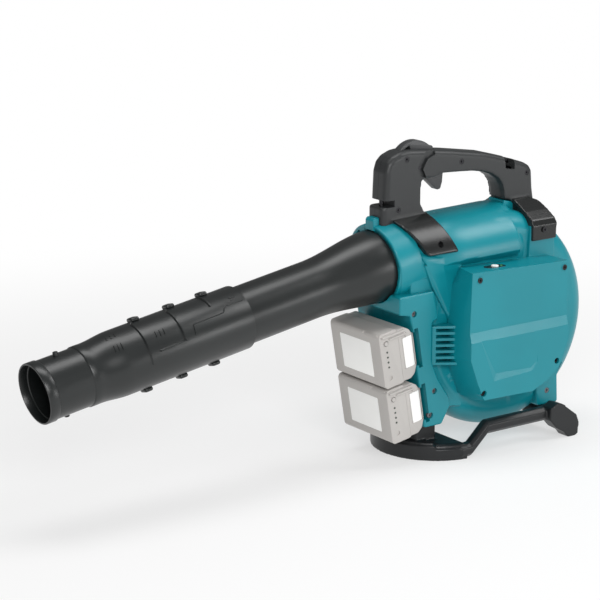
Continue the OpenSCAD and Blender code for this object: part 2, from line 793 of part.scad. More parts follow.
module long_pipe() {
    steps = [for (i = [0:12]) i * flare_len / 12];
    color(pipe_black) placed() along_nozzle() {
        rotate_extrude($fn = 96) polygon(concat(
            [[spigot_r, -spigot_len], [spigot_r, 0.2]],
            [for (s = steps) [pipe_outer(s), s + 0.2]],
            [[pipe_r, pipe_len], [pipe_r - pipe_wall, pipe_len]],
            [for (i = [12:-1:0]) [pipe_outer(steps[i]) - pipe_wall, steps[i] + 0.2]],
            [[spigot_r - pipe_wall, -spigot_len]]
        ));
        for (turn = [0, 180]) rotate([0, 0, turn]) {
            translate([spigot_r - 1, 0, -bayonet_s]) rotate([0, 90, 0])
                cylinder(r = stud_r, h = bayonet_r - spigot_r + 1 - 0.2);
            translate([pipe_r - 1, 0, end_stud_s]) rotate([0, 90, 0]) cylinder(r = stud_r, h = 3);
        }
    }
}

module end_nozzle() {
    bead_s = nozzle_len - front_tube_len - 9;
    lip_s = nozzle_len - 13;
    color(pipe_black) placed() along_nozzle() difference() {
        union() {
            rotate_extrude($fn = 96) polygon([
                [sleeve_bore, sleeve_start], [sleeve_r - 0.8, sleeve_start], [sleeve_r, sleeve_start + 1],
                [sleeve_r, cone_end - 40], [sleeve_r - 1, cone_end - 22], [front_tube_r + 1, cone_end],
                [front_tube_r + 1.2, bead_s], [front_tube_r + 1.2, bead_s + 9], [front_tube_r, bead_s + 10],
                [front_tube_r, lip_s], [lip_r, lip_s + 1], [lip_r, nozzle_len - 1], [lip_r - 1, nozzle_len],
                [mouth_r, nozzle_len], [mouth_r, cone_end - 3], [sleeve_bore, pipe_len + 4]
            ]);
            for (turn = [0, 180]) rotate([0, 0, turn]) {
                for (s = bump_at) rotate([0, 0, bump_turn]) intersection() {
                    translate([sleeve_r - 1, -8, s - 6 + bump_lead * turn / 180]) cube([20, 16, 12]);
                    translate([0, 0, s - 6]) cylinder(r = bump_r, h = 30);
                }
                for (rib = rib_at) translate([0, 0, rib[0]]) rotate([0, 0, -rib[1]])
                    rotate_extrude(angle = rib[1] + 8) translate([sleeve_r - 1, 0]) square([1 + rib_h, 1.6]);
                rotate([0, 0, -rib_at[1][1]])
                    translate([sleeve_r - 1, 0, rib_at[1][0]]) cube([1 + rib_h, 1.6, 38]);
                translate([front_tube_r - 1, 0, nozzle_len - 37]) rotate([0, 90, 0]) cylinder(r = 3.4, h = 6);
            }
        }
        for (turn = [0, 180]) rotate([0, 0, turn]) intersection() {
            translate([0, -groove_w / 2, end_stud_s - extension - 7]) cube([60, groove_w, extension + 14]);
            cylinder(r = groove_r, h = 500);
        }
    }
}

// ---- foot frame ----

rail_half = 9.5;
rail_y = bow_r - rail_half;
foot_half_y = [74, 94];
post_half_w = 46;
rail_front = 130;
rail_back = 240;

module bow_2d(inset) {
    difference() {
        translate([bow_r + 17, 0]) circle(r = bow_r - inset, $fn = 96);
        translate([bow_r + 17, 0]) circle(r = bow_r - bow_band + inset, $fn = 96);
        translate([94, -200]) square([200, 400]);
    }
}

module rail_section(x, h, half) {
    translate([x, 0, h]) rotate([0, 90, 0]) rotate([0, 0, 22.5])
        cylinder(r = half / cos(22.5), h = 1, $fn = 8);
}

module foot_frame() {
    foot_outline = [
        [234, 29], [234, 46], [247, 52], [255, 50], [282, 30], [287, 18], [285, 2], [281, 0], [267, 0],
        [260, 8], [246, 16]
    ];
    color(foot_grey) placed() difference() {
        union() {
            linear_extrude(bow_h - 4) bow_2d(0);
            translate([0, 0, bow_h - 4 - eps]) linear_extrude(4) bow_2d(3);
            for (side = [-1, 1]) {
                translate([0, side * rail_y, 0]) {
                    hull() {
                        rail_section(84, rail_half, rail_half);
                        rail_section(102, rail_half + 1, rail_half);
                    }
                    hull() {
                        rail_section(102, rail_half + 1, rail_half);
                        rail_section(rail_front, rail_axis_h, rail_half);
                    }
                    hull() {
                        rail_section(rail_front, rail_axis_h, rail_half);
                        rail_section(rail_back, rail_axis_h, rail_half);
                    }
                }
                one_side(side, foot_half_y[0], foot_half_y[1]) rounded(2) polygon(foot_outline);
            }
            // post under the battery column, and its web to the bow
            translate([38, -post_half_w, 0]) cube([32, 2 * post_half_w, column_bottom - 0.2]);
            // cross member under the rear leg
            side_plate(-foot_half_y[0] - 2, foot_half_y[0] + 2)
                polygon([[250, 22], [252, 31], [258, leg_bottom - 0.2], [278, leg_bottom - 0.2], [279, 22]]);
        }
        for (p = foot_screw_at) translate([p[0], p[1], -1]) {
            cylinder(r = screw_r + seat_gap, h = 80);
            cylinder(r = head_r + 0.4, h = foot_seat_h + 1);
        }
    }
}

// ---- fan and motor ----

blade_t = 2.6;
blade_root_r = 30;
hub_r = 16;
plate_y = 44;
module fan() {
    color([0.15, 0.15, 0.16]) placed() about_fan() difference() {
        union() {
            translate([0, 0, plate_y - 3]) cylinder(r = fan_r, h = 3, $fn = 96);
            translate([0, 0, -6]) cylinder(r = hub_r, h = plate_y + 6);
            for (i = [0:fan_blades - 1]) rotate([0, 0, i * 360 / fan_blades])
                translate([0, 0, -40]) linear_extrude(plate_y + 38) blade();
        }
        translate([0, 0, -10]) cylinder(r = shaft_r + 0.02, h = 60);
    }
}

// A backward-curved blade: an arc that leans away from the turn.
module blade() {
    function blade_r(i) = blade_root_r + i * (fan_r - 1 - blade_root_r) / 8;
    function blade_a(i) = -0.004 * (blade_r(i) - blade_root_r) ^ 2;
    outer = [for (i = [0:8]) blade_r(i) * [cos(blade_a(i)), sin(blade_a(i))]];
    inner = [for (i = [8:-1:0]) outer[i] + blade_t * [-sin(blade_a(i) - 18), cos(blade_a(i) - 18)]];
    polygon(concat(outer, inner));
}

module fan_nut() {
    color(steel) placed() about_fan() translate([0, 0, -13]) difference() {
        cylinder(r = 7.5, h = 7, $fn = 6);
        translate([0, 0, -1]) cylinder(r = shaft_r + 0.02, h = 10);
    }
}

case_z = [volute_half_w + seat_gap, body_half_w - cover_t - step_t - 0.4];
bearing_w = 7;
bearing_r = 11;
bearing_z = [case_z[0] + 4, case_z[1] - 3 - bearing_w];
stator_z = [case_z[0] + 13, case_z[1] - 12];
stator_r = motor_r - 3 - seat_gap;
rotor_r = 25.3;

module motor_rotor() {
    color(steel) placed() about_fan() {
        translate([0, 0, -16]) cylinder(r = shaft_r, h = bearing_z[1] + bearing_w - 0.5 + 16);
        translate([0, 0, stator_z[0]]) cylinder(r = rotor_r, h = stator_z[1] - stator_z[0]);
    }
}

module motor_bearings() {
    color(steel) placed() about_fan() for (z = bearing_z) translate([0, 0, z]) difference() {
        cylinder(r = bearing_r, h = bearing_w);
        translate([0, 0, -1]) cylinder(r = shaft_r + running_gap, h = bearing_w + 2);
    }
}

slot_count = 12;
slot_in = 29;
slot_out = 37;
slot_w = 7;
module motor_stator() {
    color(motor_grey) placed() about_fan() difference() {
        translate([0, 0, stator_z[0]]) cylinder(r = stator_r, h = stator_z[1] - stator_z[0]);
        cylinder(r = rotor_r + 0.7, h = 200);
        for (i = [0:slot_count - 1]) rotate([0, 0, i * 360 / slot_count])
            translate([slot_in, -slot_w / 2, 0]) cube([slot_out - slot_in, slot_w, 200]);
    }
}

module motor_windings() {
    color(copper) placed() about_fan() for (i = [0:slot_count - 1]) rotate([0, 0, i * 360 / slot_count])
        translate([slot_in + seat_gap, -slot_w / 2 + seat_gap, stator_z[0] - 3])
            cube([slot_out - slot_in - 2 * seat_gap, slot_w - 2 * seat_gap, stator_z[1] - stator_z[0] + 6]);
}

module motor_case() {
    color(motor_grey) placed() about_fan() difference() {
        union() {
            translate([0, 0, case_z[0]]) cylinder(r = motor_r + 3, h = 4);
            translate([0, 0, case_z[0]]) cylinder(r = motor_r, h = case_z[1] - case_z[0]);
        }
        difference() {
            translate([0, 0, case_z[0] + 4]) cylinder(r = motor_r - 3, h = case_z[1] - case_z[0] - 7);
            translate([0, 0, case_z[0]]) cylinder(r = bearing_r + 3, h = 4 + bearing_w);
            translate([0, 0, bearing_z[1]]) cylinder(r = bearing_r + 3, h = 20);
        }
        for (z = bearing_z) translate([0, 0, z]) cylinder(r = bearing_r + running_gap, h = bearing_w);
        translate([0, 0, case_z[0] - 1]) cylinder(r = shaft_r + 1, h = case_z[1] - case_z[0] - 2);
        for (i = [0:5]) rotate([0, 0, i * 60]) translate([18, -4, 0]) cube([18, 8, 200]);
    }
}

module controller_box() {
    box_x = [92, 135];
    box_h = [122, 236];
    color(motor_grey) placed() difference() {
        side_plate(-volute_half_w - 34, -volute_half_w - seat_gap) translate([box_x[0], box_h[0]])
            square([box_x[1] - box_x[0], box_h[1] - box_h[0]]);
        for (i = [0:8]) translate([box_x[0] + 3 + i * 4.4, -volute_half_w - 40, box_h[0] + 6])
            cube([2.2, 14, box_h[1] - box_h[0] - 12]);
    }
}

// ---- battery packs ----

pack_y = [-62, pack_len - 62];
half_split = 30;
blade_at = [-10, 10];

module battery_terminal(i) {
    color([0.12, 0.12, 0.12]) placed() {
        terminal_block(i, 0);
        at_pack(i) for (z = blade_at)
            translate([terminal_face - 3.6, terminal_y[0] + 4, z - pack_w / 2 - 0.6])
                cube([4, terminal_y[1] - terminal_y[0] - 8, 1.2]);
    }
}
module upper_terminal() { battery_terminal(0); }
module lower_terminal() { battery_terminal(1); }

module at_pack_end(i, x, z) { at_pack(i) translate([x, pack_y[0], z]) rotate([90, 0, 0]) children(); }

release_x = [36, 53];
release_z = [-57, -15];
release_depth = 6;
release_travel = 3;
gauge_x = 10;
gauge_z = -14;
gauge_r = 3;
gauge_travel = 1;
lamp_z = [-26, -33, -40, -47];
label_y = [-40, 26];
label_z = [-63, -14];
label_depth = 0.4;

// The release button's face, across X and Z.
module release_2d() {
    size = [release_x[1] - release_x[0], release_z[1] - release_z[0]];
    translate([release_x[0], release_z[0]]) square(size);
}

// The pack's outline in the plane across its rails.
module pack_2d() {
    rounded(3) polygon([
        [0, -4], [3, 0], [28, 0], [31, -2], [43, -2], [50, -7], [pack_t, -19], [pack_t, 19 - pack_w],
        [50, 7 - pack_w], [43, 2 - pack_w], [31, 2 - pack_w], [28, -pack_w], [3, -pack_w], [0, 4 - pack_w]
    ]);
}
module pack_block(i, x0, x1) {
    at_pack(i) translate([0, pack_y[1], 0]) rotate([90, 0, 0]) linear_extrude(pack_len) intersection() {
        pack_2d();
        translate([x0, -pack_w - 5]) square([x1 - x0, pack_w + 10]);
    }
}

module pack_case(i) {
    color(pack_grey) placed() difference() {
        pack_block(i, -1, half_split);
        at_pack(i) translate([-1, label_y[0], label_z[0]])
            cube([1 + label_depth, label_y[1] - label_y[0], label_z[1] - label_z[0]]);
        at_pack_end(i, gauge_x, gauge_z) translate([0, 0, -4]) cylinder(r = gauge_r + moving_gap, h = 10);
        for (z = lamp_z) at_pack_end(i, gauge_x, z) translate([0, 0, -2]) cylinder(r = 1.5, h = 10);
    }
}

module pack_rails(i) {
    color(pack_grey) placed() difference() {
        union() {
            pack_block(i, half_split, pack_t + 1);
            at_pack(i) translate([pack_t - 1, pack_y[0] + 12, -pack_w / 2]) {
                translate([0, 0, -neck_half + moving_gap])
                    cube([rail_h + 1, pack_len - 12, 2 * (neck_half - moving_gap)]);
                flange = column_face + lip_t + moving_gap;
                translate([flange - pack_t + 1, 0, -pocket_half + moving_gap])
                    cube([pack_t + rail_h - flange, pack_len - 12, 2 * (pocket_half - moving_gap)]);
            }
        }
        at_pack(i) for (z = blade_at)
            translate([terminal_face - 4.4, terminal_y[0] + 1, z - pack_w / 2 - 1.6]) cube([10, 80, 3.2]);
        at_pack(i) translate([0, pack_y[0] - 1, 0]) rotate([-90, 0, 0])
            linear_extrude(1 + release_depth) offset(delta = moving_gap) mirror([0, 1]) release_2d();
    }
}

module pack_label(i) {
    color(pack_white) placed() at_pack(i) translate([-0.2, label_y[0] + 0.2, label_z[0] + 0.2])
        cube([0.2 + label_depth, label_y[1] - label_y[0] - 0.4, label_z[1] - label_z[0] - 0.4]);
}

module release_button(i) {
    color(pack_white) placed() at_pack(i) translate([0, pack_y[0] - 1.5, 0]) rotate([-90, 0, 0])
        linear_extrude(1.5 + release_depth - release_travel - 0.4) mirror([0, 1]) release_2d();
}

module gauge_button(i) {
    color(pack_white) placed() at_pack_end(i, gauge_x, gauge_z) translate([0, 0, -4 + gauge_travel + 0.4])
        cylinder(r = gauge_r, h = 3.4);
}

module gauge_lamps(i) {
    color(lamp_green) placed()
        for (z = lamp_z) at_pack_end(i, gauge_x, z) translate([0, 0, -2]) cylinder(r = 1.4, h = 2.2);
}

module upper_pack_case() { pack_case(0); }
module upper_pack_rails() { pack_rails(0); }
module upper_pack_label() { pack_label(0); }
module upper_release_button() { release_button(0); }
module upper_gauge_button() { gauge_button(0); }
module upper_gauge_lamps() { gauge_lamps(0); }
module lower_pack_case() { pack_case(1); }
module lower_pack_rails() { pack_rails(1); }
module lower_pack_label() { pack_label(1); }
module lower_release_button() { release_button(1); }
module lower_gauge_button() { gauge_button(1); }
module lower_gauge_lamps() { gauge_lamps(1); }

// ---- screws ----

// A cross-slot screw along Y with its head at -Y.
module screw_y(at, seat_y, tip_y) {
    difference() {
        union() {
            side_plate(seat_y - 1, tip_y) translate(at) circle(r = screw_r);
            side_plate(seat_y - head_t, seat_y) translate(at) circle(r = head_r);
        }
        side_plate(seat_y - head_t - 1, seat_y - head_t + 1.6) translate(at) circle(r = 1.8, $fn = 6);
    }
}

module handle_screws() {
    color(steel) placed() for (p = handle_screw_at) screw_y(p, handle_seat_y, handle_tip_y);
}
module cover_screws() {
    color(steel) placed() for (p = cover_screw_at) screw_y(p, -body_half_w + 6, -volute_half_w + 5);
}
module housing_screws() {
    color(steel) placed() for (p = housing_screw_at) screw_y(p, housing_seat_y, housing_tip_y);
}
module saddle_screws() {
    color(steel) placed() for (i = [0, 1]) {
        screw_y(saddle_screw_at[i], -saddle_seat_y[i], -saddle_tip_y[i]);
        mirror([0, 1, 0]) screw_y(saddle_screw_at[i], -saddle_seat_y[i], -saddle_tip_y[i]);
    }
}
module foot_screws() {
    color(steel) placed() for (p = foot_screw_at) translate([p[0], p[1], 0]) {
        translate([0, 0, foot_seat_h]) cylinder(r = screw_r, h = foot_tip_h - foot_seat_h);
        translate([0, 0, foot_seat_h - head_t]) cylinder(r = head_r, h = head_t);
    }
}

housing_left();
housing_right();
motor_cover();
power_panel();
power_button();
power_lamp();
handle_left();
handle_right();
cruise_lever();
lever_pin();
trigger();
trigger_pin();
switch_body();
front_eyelet_pin();
rear_strap_bar();
long_pipe();
end_nozzle();
foot_frame();
fan();
fan_nut();
motor_rotor();
motor_bearings();
motor_stator();
motor_windings();
motor_case();
controller_box();
upper_terminal();
lower_terminal();
inlet_cover();
inlet_hinge_pin();
inlet_lock_knob();
inlet_switch();
upper_pack_case();
upper_pack_rails();
upper_pack_label();
upper_release_button();
upper_gauge_button();
upper_gauge_lamps();
lower_pack_case();
lower_pack_rails();
lower_pack_label();
lower_release_button();
lower_gauge_button();
lower_gauge_lamps();
handle_screws();
cover_screws();
housing_screws();
saddle_screws();
foot_screws();
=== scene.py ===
"""A hand-held cordless garden blower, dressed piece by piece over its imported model.

A piece is drawn as a bmesh in millimetres, measured as in the workshop drawing: X from the pipe
collar towards the back, Y across, Z up from the floor. An outline is a list of (X, height) points.
piece() turns a drawing into metres.
"""

import json
import math

import bmesh
import bpy
from mathutils import Matrix, Vector


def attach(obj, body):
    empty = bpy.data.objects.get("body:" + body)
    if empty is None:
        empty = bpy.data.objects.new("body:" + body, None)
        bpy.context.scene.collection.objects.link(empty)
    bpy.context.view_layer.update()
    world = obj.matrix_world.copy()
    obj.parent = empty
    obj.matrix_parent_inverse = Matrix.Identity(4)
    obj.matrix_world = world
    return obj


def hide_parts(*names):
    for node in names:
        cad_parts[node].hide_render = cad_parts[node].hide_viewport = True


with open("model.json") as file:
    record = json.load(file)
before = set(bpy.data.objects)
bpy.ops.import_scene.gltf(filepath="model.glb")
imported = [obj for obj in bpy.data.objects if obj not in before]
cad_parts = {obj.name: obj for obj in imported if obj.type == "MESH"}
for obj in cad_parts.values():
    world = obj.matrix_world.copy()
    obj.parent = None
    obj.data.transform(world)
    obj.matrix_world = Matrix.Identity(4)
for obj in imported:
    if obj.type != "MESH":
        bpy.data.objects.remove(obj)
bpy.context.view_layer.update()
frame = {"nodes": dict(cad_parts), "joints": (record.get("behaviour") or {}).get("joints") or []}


# ---- Camera ----
# A long lens, low and in front of the nozzle, on the motor's side.

def shown(name, data):
    """A new object in the scene."""
    made = bpy.data.objects.new(name, data)
    bpy.context.scene.collection.objects.link(made)
    return made


LENS_DOWN = 14.519
LENS_ROUND = -35.537
camera_data = bpy.data.cameras.new("camera")
camera_data.lens = 132
camera_data.clip_end = 30
camera = shown("camera", camera_data)
camera.location = (-1.6259, -2.2360, 0.9457)
camera.rotation_euler = (math.radians(90 - LENS_DOWN), 0, math.radians(LENS_ROUND))
bpy.context.scene.camera = camera
bpy.context.scene.view_settings.view_transform = "Standard"


# ---- Finishes ----
# Shader maths is written as sums of node outputs. Finish holds one material and adds its nodes.

class Output:
    """One output of a shader node. Sums, differences and products of it add Math nodes."""

    def __init__(self, finish, link):
        self.finish = finish
        self.link = link

    def maths(self, operation, second=0.0):
        return self.finish.add("Math", {"operation": operation}, {0: self, 1: second})

    def __add__(self, other):
        return self.maths("ADD", other)

    def __sub__(self, other):
        return self.maths("SUBTRACT", other)

    def __rsub__(self, other):
        return self.finish.add("Math", {"operation": "SUBTRACT"}, {0: other, 1: self})

    def __mul__(self, other):
        return self.maths("MULTIPLY", other)

    __radd__ = __add__
    __rmul__ = __mul__


class Finish:
    """A material in the making: add() makes a node, set() fills the surface shader's sockets."""

    def __init__(self, name):
        self.material = bpy.data.materials.new(name)
        self.material.use_nodes = True
        self.tree = self.material.node_tree
        self.shader = self.tree.nodes["Principled BSDF"]
        self.place = self.add("TexCoord", output="Object")

    def fill(self, socket, value):
        """Links an output to a socket, or writes a constant on it."""
        if isinstance(value, Output):
            self.tree.links.new(value.link, socket)
        elif socket.type == "RGBA" and len(value) == 3:
            socket.default_value = (*value, 1)
        else:
            socket.default_value = value

    def add(self, kind, settings=None, values=None, output=0):
        """A new node with its settings and its sockets' values. Gives one of its outputs."""
        node = self.tree.nodes.new("ShaderNode" + kind)
        for name, setting in (settings or {}).items():
            setattr(node, name, setting)
        for name, value in (values or {}).items():
            self.fill(node.inputs[name], value)
        return Output(self, node.outputs[output])

    def set(self, **values):
        for name, value in values.items():
            self.fill(self.shader.inputs[name.replace("_", " ")], value)

    def noise(self, scale, detail=2.0, roughness=0.5, place=None):
        """Smooth noise about 0.5 with so many blobs to the metre."""
        return self.add("TexNoise", None, {"Vector": place or self.place, "Scale": scale,
                                           "Detail": detail, "Roughness": roughness})

    def between(self, low, high, factor):
        """A colour between two colours."""
        return self.add("Mix", {"data_type": "RGBA"}, {"Factor": factor, 6: low, 7: high}, output=2)

    def ramp(self, value, low, high):
        """0 below low, 1 above high, smooth between."""
        return self.add("MapRange", {"interpolation_type": "SMOOTHSTEP"}, {
            "Value": value, "From Min": low, "From Max": high})

    def bump(self, height, distance):
        """A surface normal from heights, at most so many metres high."""
        return self.add("Bump", None, {"Height": height, "Distance": distance})


# ---- Floor and light ----
# A pale floor that fades to white away from the machine, a surround that is white to the camera
# and a dim grey to the surfaces, and soft studio boxes.

FLOOR_GLOW = 0.55
SURROUND_LIGHT = 0.19
floor_finish = Finish("floor_white")
floor_finish.set(Base_Color=(0.88, 0.88, 0.88), Roughness=0.7)
reach = floor_finish.add("VectorMath", {"operation": "LENGTH"}, {0: floor_finish.place}, output=1)
fade = floor_finish.ramp(reach, 0.4, 1.4) * (1 - FLOOR_GLOW) + FLOOR_GLOW
white = floor_finish.add("Emission", None, {"Color": (1, 1, 1), "Strength": 1.0})
blend = floor_finish.add("MixShader", None, {
    0: fade, 1: Output(floor_finish, floor_finish.shader.outputs[0]), 2: white})
floor_tree = floor_finish.tree
floor_tree.links.new(blend.link, floor_tree.nodes["Material Output"].inputs["Surface"])

floor_mesh = bmesh.new()
bmesh.ops.create_circle(floor_mesh, cap_ends=True, segments=64, radius=6)
floor = shown("floor", bpy.data.meshes.new("floor"))
floor_mesh.to_mesh(floor.data)
floor_mesh.free()
floor.data.materials.append(floor_finish.material)

world = bpy.data.worlds.new("surround")
bpy.context.scene.world = world
world.use_nodes = True
surround = world.node_tree
background = surround.nodes["Background"]
rays = surround.nodes.new("ShaderNodeLightPath")
seen = surround.nodes.new("ShaderNodeMath")
seen.operation = "MAXIMUM"
surround.links.new(rays.outputs["Is Camera Ray"], seen.inputs[0])
surround.links.new(rays.outputs["Is Transmission Ray"], seen.inputs[1])
level = surround.nodes.new("ShaderNodeMapRange")
level.inputs["To Min"].default_value = SURROUND_LIGHT
surround.links.new(seen.outputs[0], level.inputs["Value"])
surround.links.new(level.outputs[0], background.inputs["Strength"])
background.inputs["Color"].default_value = (1, 1, 1, 1)


def softbox(name, place, aim, width, height, power):
    """A rectangular studio lamp at place, facing aim, in metres and watts."""
    lamp = bpy.data.lights.new(name, "AREA")
    lamp.shape = "RECTANGLE"
    lamp.size = width
    lamp.size_y = height
    lamp.energy = power
    holder = shown(name, lamp)
    holder.location = place
    holder.rotation_euler = (Vector(aim) - Vector(place)).to_track_quat("-Z", "Y").to_euler()


softbox("key_box", (-1.0, -2.1, 1.35), (0.0, 0, 0.25), 1.5, 0.9, 39)
softbox("top_box", (0.1, 0.2, 2.5), (0.0, 0, 0.2), 1.8, 0.9, 27)
softbox("edge_box", (1.4, -0.75, 1.75), (0.1, 0, 0.2), 0.8, 0.8, 14)
softbox("step_box", (1.6, -2.2, 0.5), (0.1, -0.1, 0.2), 0.9, 0.5, 12)


# ---- Long pipe ----
# One long black tube, moulded from polypropylene. Its flared root pushes into the collar and two
# studs lock it there with a twist; two more studs near its front end stop the end nozzle.

def plastic(name, colour, gloss, grain=0.00002, grain_scale=2200, flow=0.05, sheen_spread=0.05):
    """Moulded plastic: a faint flow mottle, a spark-eroded grain and patches a little glossier.

    grain is the height of the grain in metres, grain_scale its blobs to the metre.
    """
    finish = Finish(name)
    mottle = finish.noise(9, 3)
    patches = finish.noise(55, 3, 0.6)
    dull = [channel * (1 - flow) for channel in colour]
    fresh = [channel * (1 + flow) for channel in colour]
    tone = finish.between(dull, fresh, finish.ramp(mottle, 0.35, 0.65))
    finish.set(Base_Color=tone, Roughness=(patches - 0.5) * sheen_spread + gloss)
    finish.set(Normal=finish.bump(finish.noise(grain_scale, 2, 0.6), grain))
    return finish


def quarter(axis, count=1):
    """A quarter turn about an axis, or several."""
    return Matrix.Rotation(count * math.pi / 2, 4, axis)


def shift(x, y, z):
    """A move along the three axes."""
    return Matrix.Translation((x, y, z))


def moved(drawing, matrix):
    """Moves a drawing in place, and gives it back."""
    bmesh.ops.transform(drawing, matrix=matrix, verts=drawing.verts)
    return drawing


def turned(profile, steps=96, matrix=Matrix.Identity(4), closed=False):
    """A solid turned about Z in so many steps from (radius, length) points.

    The points run from axis to axis, or form a closed ring.
    """
    drawing = bmesh.new()
    points = [drawing.verts.new((radius, 0, length)) for radius, length in profile]
    edges = [drawing.edges.new(pair) for pair in zip(points, points[1:])]
    if closed:
        edges.append(drawing.edges.new((points[-1], points[0])))
    bmesh.ops.spin(drawing, geom=points + edges, cent=(0, 0, 0), axis=(0, 0, 1),
                   angle=2 * math.pi, steps=steps, use_merge=True)
    bmesh.ops.remove_doubles(drawing, verts=drawing.verts, dist=0.0005)
    bmesh.ops.recalc_face_normals(drawing, faces=drawing.faces)
    return moved(drawing, matrix)


def rounded(drawing, parts, offset, segments=3, clamp=False, affect="EDGES"):
    """Rounds some edges or a face's corners, or cuts them flat with one segment."""
    return bmesh.ops.bevel(drawing, geom=parts, offset=offset, segments=segments, affect=affect,
                           profile=0.5, clamp_overlap=clamp, material=-1)


joints = {joint["name"]: joint for joint in frame["joints"]}
collar = Vector(joints["pipe_twist"]["pos_m"]) * 1000
tilt = math.asin(-joints["pipe_twist"]["axis"][2])
into_model = Matrix.Scale(0.001, 4) @ Matrix.Translation((collar.x, 0, 0))


def piece(name, drawing, finish, body, slot, *replaced, smooth=35, flat=False):
    """Turns a drawing into a finished object that rides on a body and stands for CAD nodes.

    flat weights its shading by face area, so that flat faces beside rounded edges stay flat.
    """
    moved(drawing, into_model)
    mesh = bpy.data.meshes.new(name)
    drawing.to_mesh(mesh)
    drawing.free()
    made = shown(name, mesh)
    mesh.materials.append(finish.material)
    mesh.shade_smooth()
    mesh.set_sharp_from_angle(angle=math.radians(smooth))
    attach(made, body)
    if replaced:
        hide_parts(*replaced)
    if flat:
        weigh = made.modifiers.new("flat_faces", "WEIGHTED_NORMAL")
        weigh.keep_sharp = True
        weigh.weight = 100


along_nozzle = shift(0, 0, collar.z) @ Matrix.Rotation(-(math.pi / 2 + tilt), 4, "Y")

# Lengths along the nozzle are measured from the collar's mouth.
PIPE_R = 38.0
PIPE_WALL = 2.4
PIPE_LENGTH = 372.0
ROOT_R = 48.2
FLARE = 108.0
SPIGOT_R = 47.6
SPIGOT_LENGTH = 26.0
STUD_R = 3.8
STUD_REACH = 50.8
COLLAR_STUD = -18.0
FRONT_STUD = 359.0


def pipe_outer(s):
    """The pipe's outer radius at a distance in front of the collar."""
    share = min(s / FLARE, 1)
    return PIPE_R + (ROOT_R - PIPE_R) * (0.5 + 0.5 * math.cos(math.pi * share))


flare_steps = [FLARE * step / 24 for step in range(25)]
outside = [(SPIGOT_R, -SPIGOT_LENGTH + 1), (SPIGOT_R, 0.2)]
outside += [(pipe_outer(s), s + 0.3) for s in flare_steps]
outside += [(PIPE_R, PIPE_LENGTH - 1), (PIPE_R - 0.8, PIPE_LENGTH)]
inside = [(radius - PIPE_WALL, s) for radius, s in outside[2:-2]]
inside = [(SPIGOT_R - PIPE_WALL, -SPIGOT_LENGTH)] + inside + [(PIPE_R - PIPE_WALL, PIPE_LENGTH)]
ring = outside + inside[::-1] + [(SPIGOT_R - 0.8, -SPIGOT_LENGTH)]
pipe_drawing = turned(ring, 96, along_nozzle, closed=True)


def stud(drawing, matrix, radius, root, tip, s, turn):
    """A round stud with a softened end, standing out of a tube at a distance along it."""
    verts = bmesh.ops.create_cone(drawing, cap_ends=True, segments=24, radius1=radius,
                                  radius2=radius, depth=tip - root)["verts"]
    edges = {edge for vert in verts for edge in vert.link_edges}
    end = [edge for edge in edges if all(vert.co.z > 0 for vert in edge.verts)]
    bent = rounded(drawing, end, 0.8)
    verts = list({vert for vert in verts if vert.is_valid} | set(bent["verts"]))
    stand = shift(0, 0, s) @ Matrix.Rotation(turn, 4, "Z") @ quarter("Y")
    bmesh.ops.transform(drawing, matrix=matrix @ stand @ shift(0, 0, (root + tip) / 2), verts=verts)


for half_turn in (0, math.pi):
    stud(pipe_drawing, along_nozzle, STUD_R, SPIGOT_R - 1, STUD_REACH, COLLAR_STUD, half_turn)
    stud(pipe_drawing, along_nozzle, STUD_R, PIPE_R - 1, PIPE_R + 2, FRONT_STUD, half_turn)
pipe_finish = plastic("pipe_black", (0.011, 0.013, 0.013), 0.33, grain=0.000012, flow=0.10)
piece("long_pipe_tube", pipe_drawing, pipe_finish, "pipe", "pipe_black", "long_pipe")


# ---- Housing shells ----
# Two teal nylon shells that meet on the middle plane: fan housing, outlet duct, battery column and
# rear leg in one moulding each. Their insides are the model's own, and their edges are rounded.

def arc(centre, radius, start, end, steps):
    """Points of a circle's arc between two angles in degrees."""
    turns = [math.radians(start + (end - start) * step / steps) for step in range(steps + 1)]
    return [(centre[0] + radius * math.cos(turn), centre[1] + radius * math.sin(turn))
            for turn in turns]


def drum(radius, low, high, soft=0.0, matrix=Matrix.Identity(4), steps=96):
    """A round disc or boss from low to high along Z, its rims rounded."""
    profile = [(radius, low), (radius, high)]
    if soft:
        profile = arc((radius - soft, low + soft), soft, -90, 0, 5)
        profile += arc((radius - soft, high - soft), soft, 0, 90, 5)
    return turned([(0, low)] + profile + [(0, high)], steps, matrix)


def flat_face(outline, y, shrink):
    """One flat face of an outline at a Y, drawn in by shrink on every side."""
    drawing = bmesh.new()
    points = [drawing.verts.new((x, y, height)) for x, height in outline]
    face = drawing.faces.new(points)
    face.normal_update()
    if shrink:
        bmesh.ops.inset_region(drawing, faces=[face], thickness=shrink, use_even_offset=True,
                               use_boundary=True)
        bmesh.ops.delete(drawing, geom=points, context="VERTS")
    return drawing


def plate(outline, near, far, corner=0.0, rim=0.0, shrink=0.0, segments=3):
    """A plate of an outline between Y = near and Y = far, drawn in by shrink on every side.

    corner rounds the outline's corners, rim the edges of both faces.
    """
    drawing = flat_face(outline, near + shrink, shrink)
    if corner:
        rounded(drawing, drawing.verts[:], corner, segments, clamp=True, affect="VERTICES")
    grown = bmesh.ops.extrude_face_region(drawing, geom=drawing.faces[:])["geom"]
    lifted = [part for part in grown if isinstance(part, bmesh.types.BMVert)]
    bmesh.ops.translate(drawing, vec=(0, far - near - 2 * shrink, 0), verts=lifted)
    bmesh.ops.recalc_face_normals(drawing, faces=drawing.faces)
    if rim:
        rims = [edge for edge in drawing.edges
                if abs(edge.verts[0].co.y - edge.verts[1].co.y) < 1e-6]
        rounded(drawing, rims, rim, segments)
    return drawing


